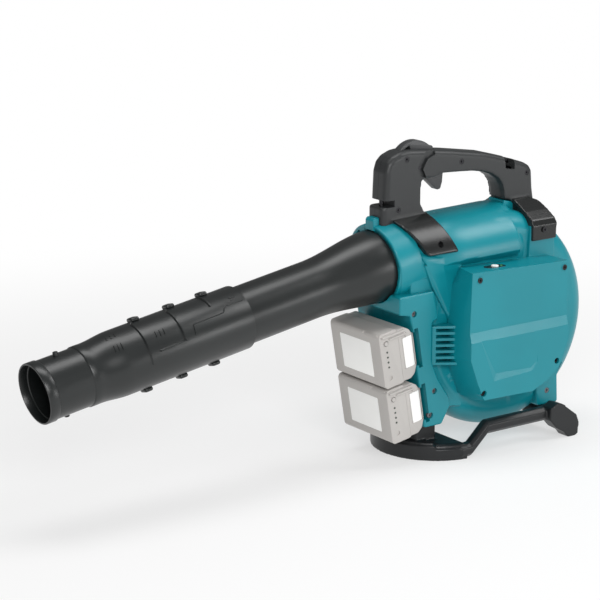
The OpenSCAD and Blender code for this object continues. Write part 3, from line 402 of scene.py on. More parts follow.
def block(low, high, soft=0.0):
    """A box between two corners, its edges rounded."""
    drawing = bmesh.new()
    size = Vector(high) - Vector(low)
    middle = (Vector(high) + Vector(low)) / 2
    bmesh.ops.create_cube(drawing, size=1, matrix=shift(*middle) @ Matrix.Diagonal((*size, 1)))
    if soft:
        rounded(drawing, drawing.edges[:], soft)
    return drawing


def stand_in(drawing):
    """A drawing as a passing object, for modifiers to work on."""
    mesh = bpy.data.meshes.new("stand_in")
    drawing.to_mesh(mesh)
    drawing.free()
    return shown("stand_in", mesh)


def taken_back(made, *others):
    """The drawing that a passing object's modifiers give. The passing objects are cleared away."""
    drawing = bmesh.new()
    drawing.from_object(made, bpy.context.evaluated_depsgraph_get())
    for thing in (made, *others):
        mesh = thing.data
        bpy.data.objects.remove(thing)
        bpy.data.meshes.remove(mesh)
    return drawing


def carved(drawing, operation, *tools):
    """The drawing united with, cut by or kept within closed tool drawings."""
    base = stand_in(drawing)
    cutters = [stand_in(tool) for tool in tools]
    for cutter in cutters:
        cut = base.modifiers.new("cut", "BOOLEAN")
        cut.operation = operation
        cut.solver = "MANIFOLD"
        cut.object = cutter
    return taken_back(base, *cutters)


def tidy_faces(drawing):
    """Joins the faces that lie in one plane."""
    bmesh.ops.dissolve_limit(drawing, angle_limit=math.radians(0.6), use_dissolve_boundaries=False,
                             verts=drawing.verts, edges=drawing.edges)
    bmesh.ops.recalc_face_normals(drawing, faces=drawing.faces)


def wrapped_round(*layers):
    """The tightest convex solid round some outlines of (X, height), each at its own Y."""
    drawing = bmesh.new()
    for y, outline in layers:
        for x, height in outline:
            drawing.verts.new((x, y, height))
    bmesh.ops.convex_hull(drawing, input=drawing.verts[:])
    loose = [vert for vert in drawing.verts if not vert.link_faces]
    bmesh.ops.delete(drawing, geom=loose, context="VERTS")
    tidy_faces(drawing)
    return drawing


nodes = frame["nodes"]


def from_model(node):
    """A model node's own mesh, merged and back in drawing millimetres."""
    drawing = bmesh.new()
    drawing.from_mesh(nodes[node].data)
    moved(drawing, into_model.inverted())
    bmesh.ops.remove_doubles(drawing, verts=drawing.verts, dist=0.002)
    return drawing


fan_axis = Vector(joints["fan_spin"]["pos_m"]) * 1000
fan_x = fan_axis.x - collar.x
about_fan = shift(fan_x, 0, fan_axis.z) @ quarter("X")

# SKIN is how far the dressed surface lies inside the model's, SEAM half the gap between the shells.
SKIN = 0.2
SEAM = 0.25
VOLUTE_R = 148.5
VOLUTE_HALF = 53.0
VOLUTE_RIM = 28.0
COLLAR_R = 56.0
COLLAR_DEPTH = 38.0
DUCT_R = 54.0
DUCT_BACK_R = 57.0
DUCT_RISE = 6.0
DUCT_BACK = fan_x + 33
DUCT_END_ROUND = 15.0
CHEEK_START = 30.0
CHEEK_RISE = (35.0, 110.0)
CHEEK_R = 53.6
CHEEK_SWELL = 11.6
CHEEK_FLAT = 0.865
CHEEK_RIM = 2.5
COLUMN_FACE = 56.0
COLUMN_BOTTOM = 46.0
BAY_RIM = 57.0
SIDE_FACE = 57.0
BAY_DEPTH = 22.0
INLET_RING_R = 66.0
INLET_FACE = 60.0
# From the fan's axis back to the inlet cover's hinge, and as far forward to its lock's keeper.
PIVOT_REACH = 98.0
KEEPER_R = 9.0
KEEPER_FACE = 56.0
HINGE_LUG = (10.4, 18.2, 12.4)
HINGE_LUG_Y = 58.1
HINGE_APART = 36.8
PACK_ORIGIN = (-40, 0, 186)

at_packs = shift(*PACK_ORIGIN) @ Matrix.Rotation(-tilt, 4, "Y")
duct_axis = shift(0, 0, collar.z) @ Matrix.Rotation(
    math.pi / 2 - math.atan(DUCT_RISE / DUCT_BACK), 4, "Y")
column_top = at_packs @ Vector((COLUMN_FACE, 0, 8))
column_foot = at_packs @ Vector((
    COLUMN_FACE, 0, (COLUMN_BOTTOM - column_top.z) / math.cos(tilt) + 8))

column_outline = [
    (-4, collar.z - 32), (-4, 207), (column_top.x, column_top.z), (column_foot.x, column_foot.z),
    (70, COLUMN_BOTTOM), (84, 70), (82, 82), (62, 112), (51, 137), (51, 190), (62, 194),
    (53, collar.z - 31)]
core_outline = [(46, 70), (110, 62), (120, 150), (120, 262), (20, 250), (20, 205), (42, 150)]
leg_outline = [(238, 64), (241, 40), (279, 40), (277, 80), (288, 98), (244, 98)]
riser_outline = [(207, 290), (207, 328.5), (260, 314.5), (266, 290), (240, 285)]
lug_outline = [(-10, 300), (-10, 326), (-7, 329), (22, 329), (24, 312), (24, 300)]
lug_notch = [(-3, 330), (15, 330), (6, 318)]
v_panel_outline = [(38, 270), (99, 258), (85, 234), (85, 184), (54, 234)]
pad_outline = [(218, 250), (266, 250), (264, 296), (222, 298)]
grille_plan = [(52, 57), (84, 77), (90, 77), (90, 48), (52, 48)]
GRILLE_H = (130, 184)
cover_base = [
    (84, 236), (96, 258.5), (252, 254), (253, 176), (254, 143), (241, 108), (218, 90), (190, 79),
    (103, 81), (90, 108), (78, 140), (78, 172), (84, 180)]
# What stands across the middle plane: outline, half width, and rounding of corners and of rims.
middle_forms = [
    (column_outline, 60, 2.5, 2.5), (core_outline, 52, 2, 2), (leg_outline, 58, 3, 2.5),
    (riser_outline, 17, 3, 2), (lug_outline, 9, 1.5, 1.2)]


def duct_form(grow, front=0.0, back=DUCT_BACK, soft=0.0):
    """The conical outlet duct, grown or shrunk, with a rounded back end."""
    def radius_at(x):
        return DUCT_R + (DUCT_BACK_R - DUCT_R) * x / DUCT_BACK + grow

    end = [(radius_at(back), back)]
    if soft:
        end = arc((radius_at(back) - soft, back - soft), soft, 0, 90, 8)
    return turned([(0, front), (radius_at(front), front)] + end + [(0, back)], 128, duct_axis)


def housing_form():
    """The rounded outer form of both shells together: the volute with all that stands on it.

    It carries the inlet's ring, the keeper of its lock knob and its hinge lugs on the far side, and
    two V notches in the strap lug.
    """
    half = VOLUTE_HALF - SKIN
    out = VOLUTE_R - SKIN
    volute = [(0, -half)] + arc((out - VOLUTE_RIM, VOLUTE_RIM - half), VOLUTE_RIM, -90, 0, 16)
    volute += arc((out - VOLUTE_RIM, half - VOLUTE_RIM), VOLUTE_RIM, 0, 90, 16) + [(0, half)]
    forms = [
        duct_form(-SKIN, soft=DUCT_END_ROUND),
        drum(COLLAR_R - SKIN, -COLLAR_DEPTH, -0.7, 2.0, along_nozzle, 128),
        *[plate(outline, -half_width, half_width, corner, rim, SKIN)
          for outline, half_width, corner, rim in middle_forms],
        moved(plate(grille_plan, *GRILLE_H, 1.5, 1.2, SKIN), quarter("X")),
        plate(cover_base, -BAY_RIM, -BAY_RIM + BAY_DEPTH, 2, 0.4, SKIN),
        drum(INLET_RING_R, 40, INLET_FACE - SKIN, 1, about_fan @ quarter("X", 2), 128),
        drum(KEEPER_R - SKIN, 40, KEEPER_FACE - SKIN, 0.6,
             shift(fan_x - PIVOT_REACH, 0, fan_axis.z) @ quarter("X", -1), 32),
    ]
    for side in (-1, 1):
        forms.append(plate(pad_outline, *sorted((40 * side, SIDE_FACE * side)), 2, 1.5, SKIN))
        forms.append(plate(v_panel_outline, *sorted((44 * side, SIDE_FACE * side)), 1.5, 1.5, SKIN))
        middle = Vector((fan_x + PIVOT_REACH, HINGE_LUG_Y, fan_axis.z + side * HINGE_APART / 2))
        reach = Vector(HINGE_LUG) / 2
        forms.append(block(middle - reach, middle + reach, 0.5))
    form = carved(turned(volute, 192, about_fan), "UNION", *forms)
    notches = [plate(lug_notch, -12, -7), plate(lug_notch, 7, 12)]
    return carved(form, "DIFFERENCE", *notches)


def duct_cheeks(side):
    """The duct's swollen side over the fan: wide, no taller than the duct, and sloped off below.

    It is a turned form whose radius grows by CHEEK_SWELL, flattened in its height.
    """
    profile = []
    start, full = CHEEK_RISE
    for x in [CHEEK_START + 10.5 * step for step in range(17)]:
        share = min(max((x - start) / (full - start), 0), 1)
        profile.append((CHEEK_R + CHEEK_SWELL * share * share * (3 - 2 * share), x))
    radius, last = profile.pop()
    profile += arc((radius - CHEEK_RIM, last - CHEEK_RIM), CHEEK_RIM, 0, 90, 5)
    flatten = Matrix.Diagonal((CHEEK_FLAT, 1, 1, 1))
    form = turned([(0, profile[0][1])] + profile + [(0, profile[-1][1])], 160, duct_axis @ flatten)
    form = carved(form, "DIFFERENCE", duct_form(-1.5, -5, DUCT_BACK + 9))
    outer = [(20, 290), (206, 290), (206, 345), (20, 345)]
    inner = [(20, 256), (206, 256), (206, 345), (20, 345)]
    kept = wrapped_round((side * 90, outer), (side * 50, inner), (side * SEAM, inner))
    return carved(form, "INTERSECT", kept)


def v_panel(side):
    """The raised V below the duct's root, its top leaning in to the duct."""
    return wrapped_round(
        (side * 49, [(31, 285), (105, 274), (89, 236), (89, 184), (82, 184)]),
        (side * 57.4, [(37, 279), (102, 267), (87, 235), (87, 187), (83, 187)]),
        (side * 58.6, [(41, 272), (99, 261), (86, 234), (86, 191), (84.5, 191)]))


teal_finish = plastic("teal_shell", (0.001, 0.215, 0.262), 0.34, grain=0.000008, flow=0.04,
                      sheen_spread=0.08)
teal_finish.set(Specular_IOR_Level=0.45)
for side, node in ((-1, "housing_left"), (1, "housing_right")):
    low, high = sorted((side * SEAM, side * 150))
    half_space = block((-120, low, 0), (420, high, 500))
    shell = carved(housing_form(), "INTERSECT", from_model(node), half_space)
    shell = carved(shell, "UNION", duct_cheeks(side), v_panel(side))
    piece(node + "_shell", shell, teal_finish, "housing", "teal_shell", node, smooth=28, flat=True)


# ---- Motor cover ----
# A deep teal moulding over the motor and its controller. Its upper panel lies back from the lower
# one with a sloped step between them, and the lower panel holds a shallow trapezoid recess.

def shrunk(outline, amount):
    """The outline drawn in on every side."""
    drawing = flat_face(outline, 0, amount)
    inner = [(vert.co.x, vert.co.z) for vert in drawing.faces[:][0].verts]
    drawing.free()
    return inner


def soft_edges(drawing, offset, segments=3, sharper_than=14, keep=None):
    """Rounds the edges at which two faces meet at more than an angle."""
    least = math.radians(sharper_than)
    edges = [edge for edge in drawing.edges if edge.is_manifold and edge.calc_face_angle() > least]
    if keep:
        edges = [edge for edge in edges if keep(edge)]
    rounded(drawing, edges, offset, segments, clamp=True)


def hole_y(x, height, radius, near, far, steps=32):
    """A round cutter or boss along Y."""
    return drum(radius, -far, -near, 0, shift(x, 0, height) @ quarter("X"), steps)


# The cover's walls stand straight up to its waist, lean in to its shoulder and hardly any further.
COVER_WAIST = 81.0
COVER_SHOULDER = 99.0
COVER_HALF = 105.0
COVER_WALL = 3.0
STEP_BACK = 3.5
STEP_H = (166, 179)
FACE_RECESS = 2.5
BOSS_R = 5.4
SCREW_R = 2.1
SCREW_HEAD_R = 4.2
SCREW_HEAD_DEPTH = 6
LEFT_EDGE_BEVEL = 6.0
TOP_EDGE_BEVEL = 3.2
cover_face = [
    (83, 260), (250, 255), (250, 176), (251, 143), (238, 111), (216, 93), (190, 82), (104, 84),
    (92, 110), (80, 142), (80, 170), (83, 178)]
cover_screw_at = [(96, 249), (104, 94), (232, 118), (244, 246)]
recess_outline = [(92, 167), (121, 108), (188, 106), (203, 118), (203, 167)]
recess_floor = [(98, 167), (125, 118), (186, 116), (197, 124), (197, 167)]

base_y = -BAY_RIM - SKIN - 0.2
cover_form = wrapped_round((base_y, cover_base), (-COVER_WAIST, cover_base),
                           (-COVER_SHOULDER, cover_face), (-COVER_HALF, shrunk(cover_face, 0.5)))
step_profile = [
    (-COVER_HALF - 5, STEP_H[0] - 5), (-COVER_HALF, STEP_H[0]),
    (-COVER_HALF + STEP_BACK, STEP_H[1]), (-COVER_HALF + STEP_BACK, 300), (-COVER_HALF - 5, 300)]
step_cut = moved(plate(step_profile, -300, 0), quarter("Z"))
recess_cut = wrapped_round((-COVER_HALF - 1, recess_outline), (-COVER_HALF, recess_outline),
                           (-COVER_HALF + FACE_RECESS, recess_floor))
# The recess is deepest at its lower left corner and runs out to the right and above.
lean = Matrix.Identity(4)
lean[1][0] = -0.6 * FACE_RECESS / (recess_outline[3][0] - recess_outline[1][0])
lean[1][2] = -FACE_RECESS / (recess_outline[0][1] - recess_outline[1][1])
low_corner = Vector((recess_outline[1][0], 0, recess_outline[1][1]))
moved(recess_cut, shift(*low_corner) @ lean @ shift(*-low_corner))
cover = carved(cover_form, "DIFFERENCE", step_cut, recess_cut)
tidy_faces(cover)


def edges_within(drawing, sharper_than, longer_than, axis, within):
    """The sharp edges that run so far along an axis and have both ends in a region."""
    return [edge for edge in drawing.edges
            if edge.is_manifold and edge.calc_face_angle() > sharper_than
            and all(within(vert.co) for vert in edge.verts)
            and abs(edge.verts[0].co[axis] - edge.verts[1].co[axis]) > longer_than]


left_edges = edges_within(cover, 0.6, 5, 2, lambda at: at.x < 106 and at.y < -98)
rounded(cover, left_edges, LEFT_EDGE_BEVEL, 1, clamp=True)
top_edge = edges_within(cover, 0.5, 60, 0, lambda at: at.y < -95 and at.z > 245)
rounded(cover, top_edge, TOP_EDGE_BEVEL, 1, clamp=True)
soft_edges(cover, 1.5, 3, 11, keep=lambda edge: min(vert.co.y for vert in edge.verts) < base_y - 1)
inner_base = shrunk(cover_base, COVER_WALL)
cavity = wrapped_round((base_y + 3, inner_base), (-80, inner_base),
                       (-COVER_HALF + COVER_WALL + STEP_BACK, shrunk(cover_face, COVER_WALL + 0.5)))
cover = carved(cover, "DIFFERENCE", cavity)
bosses = [hole_y(x, height, BOSS_R, -COVER_HALF + 3, base_y - 0.2, 24)
          for x, height in cover_screw_at]
boss_part = carved(bosses[0], "UNION", *bosses[1:])
within_walls = plate(shrunk(cover_base, 1.0), -COVER_HALF + 2, base_y + 1)
cover = carved(cover, "UNION", carved(boss_part, "INTERSECT", within_walls))
# The power panel's seat on the cover's sloping top.
at_power = shift(139, -80, 257.6) @ Matrix.Rotation(math.radians(1.7), 4, "Y")


def pill(radius, low, high):
    """A flat-sided oval block, upright in the power panel's seat."""
    outline = arc((10, 0), radius, -90, 90, 12) + arc((-10, 0), radius, 90, 270, 12)
    return moved(plate(outline, low, high), at_power @ quarter("X"))


cover = carved(cover, "UNION", pill(10, -7.9, -1.2))
holes = [pill(7.15, -6, 20), drum(3, -10, 20, 0, at_power, 24)]
for x, height in cover_screw_at:
    holes.append(hole_y(x, height, SCREW_R, -COVER_HALF - 5, -40, 24))
    holes.append(hole_y(x, height, SCREW_HEAD_R, -COVER_HALF - 5, -COVER_HALF + SCREW_HEAD_DEPTH))
cover = carved(cover, "DIFFERENCE", *holes)
piece("motor_cover_moulding", cover, teal_finish, "housing", "teal_shell", "motor_cover",
      smooth=28, flat=True)


# ---- Handle ----
# Two dark grey nylon halves, screwed together round the lever, trigger and switch. They bridge the
# duct on two saddles. A softened outer form is cut by the hollow, the slots and the screw recesses.

def softened(drawing, grain, passes):
    """Rebuilds a drawing from even small faces and smooths it, so that edges and creases round."""
    base = stand_in(drawing)
    remesh = base.modifiers.new("even", "REMESH")
    remesh.mode = "VOXEL"
    remesh.voxel_size = grain
    ease = base.modifiers.new("ease", "SMOOTH")
    ease.factor = 0.5
    ease.iterations = passes
    return taken_back(base)


HANDLE_HALF = 17.0
LEVER_R = 35.0
LEVER_SLOT_HALF = 6.4
TRIGGER_SLOT_HALF = 6.5
SCREW_RECESS_R = 4.1
SCREW_SEAT = 13.2
HANDLE_SEAM = 0.15
SADDLE_GROW = 10.0
lever_at = (61, 389.5)
handle_screw_at = [(38.5, 403), (25, 337), (131, 390), (247, 362)]
saddle_screw_at = [(64, 293.5, 50.5), (242, 291, 59.3)]
eyelet_h = (342, 351)
handle_outline = [
    (-1, 300), (-1, 342), (3, 344), (5, 388.5), (9, 400.5), (17, 408), (30, 413), (45, 414.5),
    (78, 411.5), (113, 407.2), (174, 397.5), (209, 388), (245, 376), (254, 371), (258.5, 364),
    (260.5, 340), (266, 308), (260, 314.7), (207, 328.7), (206, 340), (203, 350), (196, 359),
    (185, 366), (172, 370.5), (155, 373.5), (133, 375), (103, 376.5), (86, 372.5), (72, 373.5),
    (66, 371), (64.5, 362), (64, 342), (70, 331), (78, 318), (60, 300)]
groove_outline = [
    (87, 412), (70, 409), (61, 399), (57, 388), (62, 377), (72, 375), (66, 387), (74, 400),
    (87, 404.5)]
hollow_outline = [
    (95, 380), (200, 368), (218, 358), (224, 332), (250, 322), (250, 350), (240, 366), (170, 390),
    (95, 402)]
front_saddle = [(7, 335), (70, 335), (76, 318), (92, 281), (42, 281), (23, 312)]
rear_saddle = [(219.5, 340), (260, 324), (266, 300), (264.5, 270), (222.5, 270), (222.5, 300)]
# The rear saddle's section, as (way out from the middle plane, height).
rear_section = [
    (13, 330), (22, 328.5), (44, 315), (57, 304.5), (60.3, 297), (60.3, 276.5), (50, 276.5),
    (30, 300), (13, 318)]


def lever_room(radius, start, end):
    """A sector of the room in which the lever turns."""
    sector = [lever_at] + arc(lever_at, radius, start, end, 14)
    return plate(sector, -LEVER_SLOT_HALF, LEVER_SLOT_HALF)


saddles = []
for side in (-1, 1):
    front_room = plate(front_saddle, *sorted((10 * side, 70 * side)), 3)
    saddles.append(carved(duct_form(SADDLE_GROW, 0, 120), "INTERSECT", front_room))
    section = [(out * side, height) for out, height in rear_section]
    rear = moved(plate(section, -266, -219.5), quarter("Z"))
    saddles.append(carved(rear, "INTERSECT", plate(rear_saddle, -70, 70, 3)))
grip = plate(handle_outline, -HANDLE_HALF, HANDLE_HALF, 2.0, 7.5, 0.2, 5)
handle_form = softened(carved(grip, "UNION", *saddles), 1.15, 6)

cuts = [
    duct_form(0.2, -10, DUCT_BACK + 6),
    drum(COLLAR_R + 0.2, -COLLAR_DEPTH - 1, 20, 0, along_nozzle, 128),
    plate(lug_outline, -9.2, 9.2),
    plate(riser_outline, -17.2, 17.2),
    block((-12, -30, eyelet_h[0]), (19, 30, eyelet_h[1])),
    plate([(209, 371.5), (225, 368.5), (226, 396), (206.5, 396)], -30, 30, 1.5),
]
for x, height in handle_screw_at:
    cuts.append(hole_y(x, height, SCREW_RECESS_R, -30, -SCREW_SEAT))
for x, height, seat in saddle_screw_at:
    cuts.append(hole_y(x, height, SCREW_RECESS_R, -80, -seat))
    cuts.append(hole_y(x, height, SCREW_RECESS_R, seat, 80))
lever_slot = carved(lever_room(LEVER_R + 1, 15, 210), "UNION", lever_room(LEVER_R + 4, 20, 100))
cuts.append(carved(lever_slot, "DIFFERENCE", hole_y(*handle_screw_at[0], 3.6, -20, 20)))
cuts.append(block((74, -TRIGGER_SLOT_HALF, 345), (114, TRIGGER_SLOT_HALF, 388.5)))
for side in (-1, 1):
    cuts.append(plate(groove_outline, *sorted((side * (HANDLE_HALF - 4.5), side * 30)), 1.2))
cuts.append(plate(hollow_outline, -10, 10, 3))
# The grip between the saddles is textured and matte. The saddles, further from the middle plane,
# are glossier, and their darker base colour is painted shade.
grip_grey = (0.025, 0.027, 0.028)
handle_finish = plastic("handle_grey", grip_grey, 0.42, grain_scale=1500, flow=0.06)
across = handle_finish.add("SeparateXYZ", None, {0: handle_finish.place}, output=1)
matte_unshaded_grip = 1 - handle_finish.ramp(across.maths("ABSOLUTE"), 0.0175, 0.0195)
# The darker base colour on the saddles is painted shade.
handle_finish.set(Base_Color=handle_finish.between((0.012, 0.013, 0.013), grip_grey, matte_unshaded_grip),
                  Roughness=matte_unshaded_grip * 0.15 + 0.27, Specular_IOR_Level=0.4)
handle = carved(handle_form, "DIFFERENCE", *cuts)
for side, node in ((-1, "handle_left"), (1, "handle_right")):
    low, high = sorted((side * HANDLE_SEAM, side * 90))
    half = carved(handle.copy(), "INTERSECT", block((-40, low, 250), (300, high, 460)))
    piece(node + "_half", half, handle_finish, "housing", "handle_grey", node, smooth=40)
handle.free()


# ---- End nozzle ----
# The telescoping front length, moulded like the pipe: a sleeve with grip bumps, thin ribs and slide
# marks, a cone, and a slim mouth tube with a bead and a lip. It locks on the pipe's front studs.

def joined(drawings):
    """Several drawings as the loose parts of one."""
    whole = bmesh.new()
    for drawing in drawings:
        passing = bpy.data.meshes.new("passing")
        drawing.to_mesh(passing)
        drawing.free()
        whole.from_mesh(passing)
        bpy.data.meshes.remove(passing)
    return whole


NOZZLE_LENGTH = 519.0
EXTENSION = 100.0
SLEEVE_START = 222.0
SLEEVE_R = PIPE_R + 4
SLEEVE_BORE = PIPE_R + 0.4
CONE_START = 402.0
CONE_END = 443.0
FRONT_R = 37.6
CONE_TIP_R = FRONT_R + 1.1
BEAD_START = 446.0
LIP_START = 506.0
MOUTH_STEP = 11.0
MOUTH_STUD = NOZZLE_LENGTH - 37
RIB = (3.6, 1.9)
FINE_MARK = (1.6, 0.8)
BUMP_LEAD = 10
BUMP_TURN = 15
bump_at = [263, 312, 364]
# Each rib and mark is a line of (distance from the collar, degrees round) points.
ribs = [
    [(272, 8), (272, 0), (272, -31)],
    [(320, 10), (321, 3), (324, -6), (324, -30), (324, -72), (344, -72.5), (361, -73)],
    [(371, 11), (372, 3), (376, -5), (376, -40), (376, -91)]]
fine_marks = [
    [(308, -70), (306, -52), (260, -51), (254, -41), (228, -42)],
    [(242, -35), (235, -31), (242, -27)]]
for start, end, places in (
        (-36, -49, (406, 411, 416)), (-39, -50, (346, 352, 358)), (-12, -21, (405, 411, 417))):
    fine_marks += [[(s, start), (s + 1, end)] for s in places]


def sleeve_outer(s):
    """The end nozzle's outer radius over its sleeve and cone."""
    share = min(max((s - CONE_START) / (CONE_END - CONE_START), 0), 1)
    return SLEEVE_R + (CONE_TIP_R - SLEEVE_R) * (0.5 - 0.5 * math.cos(math.pi * share))


def stripe(points, ahead, behind):
    """The outline of a line through some points, so far ahead of it and behind it."""
    left, right = [], []
    for index, point in enumerate(points):
        before = Vector(points[max(index - 1, 0)])
        after = Vector(points[min(index + 1, len(points) - 1)])
        along = (after - before).normalized()
        across = Vector((-along.y, along.x))
        left.append(tuple(Vector(point) + across * ahead))
        right.append(tuple(Vector(point) - across * behind))
    return left + right[::-1]


def ridge(points, width, height):
    """A thin rib along a line, with a gentle slope in front and a steep back."""
    foot = stripe(points, width / 2, width / 2)
    crest = stripe(points, -width * 0.06, width * 0.38)
    drawing = plate(foot, -0.6, height)
    for vert in drawing.verts:
        if vert.co.y > height - 0.01:
            place = (vert.co.x, vert.co.z)
            nearest = min(range(len(foot)), key=lambda index: math.dist(place, foot[index]))
            vert.co.x, vert.co.z = crest[nearest]
    return drawing


def wrapped(drawing, turn):
    """Bends a flat drawing of (distance, height off the skin, way round) onto the sleeve."""
    for degrees in range(-90, 25, 5):
        everything = drawing.verts[:] + drawing.edges[:] + drawing.faces[:]
        bmesh.ops.bisect_plane(drawing, geom=everything, plane_no=(0, 0, 1),
                               plane_co=(0, 0, math.radians(degrees) * SLEEVE_R))
    for vert in drawing.verts:
        s, lift, way = vert.co
        angle = way / SLEEVE_R + turn
        radius = sleeve_outer(s) + lift
        vert.co = along_nozzle @ Vector((radius * math.cos(angle), radius * math.sin(angle), s))
    return drawing


cone_steps = [CONE_START + (CONE_END - CONE_START) * step / 16 for step in range(17)]
outside = [(SLEEVE_R - 0.8, SLEEVE_START), (SLEEVE_R - 0.2, SLEEVE_START + 0.3),
           (SLEEVE_R, SLEEVE_START + 1)]
outside += [(sleeve_outer(s), s) for s in cone_steps]
outside += [(FRONT_R + out, s) for out, s in (
    (1.2, BEAD_START), (1.2, BEAD_START + 8.5), (0.7, BEAD_START + 9.7), (0, BEAD_START + 10.4),
    (0, LIP_START - 0.6), (0.9, LIP_START), (1.4, LIP_START + 0.8), (1.4, NOZZLE_LENGTH - 1.2),
    (1.0, NOZZLE_LENGTH - 0.3), (0.2, NOZZLE_LENGTH))]
bore = [(FRONT_R - PIPE_WALL + out, s) for out, s in (
    (1.6, NOZZLE_LENGTH), (1.1, NOZZLE_LENGTH - 0.8), (1.1, NOZZLE_LENGTH - MOUTH_STEP),
    (0, NOZZLE_LENGTH - MOUTH_STEP - 1), (0, CONE_END - 3))]
bore += [(SLEEVE_BORE, PIPE_LENGTH + 4), (SLEEVE_BORE, SLEEVE_START + 1),
         (SLEEVE_BORE + 0.8, SLEEVE_START)]
sleeve = turned(outside + bore, 128, closed=True)
grooves = []
for half_turn in (0, math.pi):
    groove = block((30, -4.5, FRONT_STUD - EXTENSION - 7), (PIPE_R + 2.6, 4.5, FRONT_STUD + 7))
    grooves.append(moved(groove, Matrix.Rotation(half_turn, 4, "Z")))
sleeve = moved(carved(sleeve, "DIFFERENCE", *grooves), along_nozzle)
nozzle_parts = [sleeve]
for half_turn in (0, math.pi):
    for s in bump_at:
        turn = Matrix.Rotation(half_turn + math.radians(BUMP_TURN), 4, "Z")
        lead = BUMP_LEAD if half_turn else 0
        bump = block((SLEEVE_R - 1.2, -7.5, s - 6 + lead), (SLEEVE_R + 4.6, 7.5, s + 6 + lead), 2.6)
        nozzle_parts.append(moved(bump, along_nozzle @ turn))
    for marks, size in ((ribs, RIB), (fine_marks, FINE_MARK)):
        for mark in marks:
            flat = [(s, math.radians(angle) * SLEEVE_R) for s, angle in mark]
            nozzle_parts.append(wrapped(ridge(flat, *size), half_turn))
nozzle_drawing = joined(nozzle_parts)
for half_turn in (0, math.pi):
    stud(nozzle_drawing, along_nozzle, 3.4, FRONT_R - 1, FRONT_R + 4.9, MOUTH_STUD, half_turn)
piece("end_nozzle_tube", nozzle_drawing, pipe_finish, "end_nozzle", "pipe_black", "end_nozzle")


# ---- Battery packs ----
# Two equal slide-on packs, one above the other. Each is a pale grey two-part case with rails on its
# back, a bare label, a sprung white release button, and a charge gauge of four lamps with a button.

PACK_PITCH = 79.0
PACK_NEAR = -62.0
PACK_FAR = 46.0
PACK_MIDDLE = -38.0
CASE_SPLIT = 30.0
RAIL_NEAR = PACK_NEAR + 12
RAIL_BACK = 63.0
RAIL_HALF = 27.2
NECK_HALF = 23.2
SLOT_HALF = 1.6
END_STEP = 1.8
GAUGE_X = 10.0
GAUGE_BUTTON = -14.0
GAUGE_DIMPLE = -62.0
lamp_heights = [-26, -33, -40, -47]
pack_outline = [
    (0, -4), (3, 0), (28, 0), (31, -2), (43, -2), (50, -7), (55, -19), (55, -57), (50, -69),
    (43, -74), (31, -74), (28, -76), (3, -76), (0, -72)]
button_plan = [(36, -59.5), (36, -63.4), (47, -63.4), (51, -62.3), (53, -60.4), (53, -59.5)]
step_plan = [
    (-3, PACK_NEAR - 3), (13, PACK_NEAR - 3), (13, PACK_NEAR - 0.01), (-3, PACK_NEAR + 1.3)]
# Raised bars on the near end and along the top corner.
end_bars = [((4, -6.2), (41, -3.6)), ((15, -10.8), (43, -8.2)), ((40.8, -13.8), (43, -9))]
edge_bars = [(-57, -34), (-27, 38)]
label_corners = [(-40, -14), (26, -14), (26, -63), (-40, -63)]


def on_end(height, radius, depth, rise, soft=0.0, steps=32):
    """A round thing in the gauge's row on a pack's near end, so deep in it and so far out of it."""
    return drum(radius, -depth, rise, soft, shift(GAUGE_X, PACK_NEAR, height) @ quarter("X"), steps)


def level_plate(outline, low, high, corner=0.0, rim=0.0):
    """A plate of (X, Y) points between two heights."""
    return moved(plate([(x, -y) for x, y in outline], low, high, corner, rim), quarter("X"))


def on_label_face(outline, low, high, corner, rim):
    """A plate of (Y, height) points on the pack's front, from low to high in X."""
    return moved(plate(outline, -high, -low, corner, rim), quarter("Z"))


pack_finish = plastic("pack_grey", (0.46, 0.44, 0.42), 0.48, grain_scale=1800, flow=0.03)
white_finish = plastic("pack_white", (0.93, 0.93, 0.91), 0.36, grain=0.000006, flow=0.02)
lamp_finish = Finish("gauge_lamp")
lamp_tone = lamp_finish.between((0.05, 0.055, 0.05), (0.10, 0.12, 0.10), lamp_finish.noise(900))
lamp_finish.set(Base_Color=lamp_tone, Roughness=0.25)

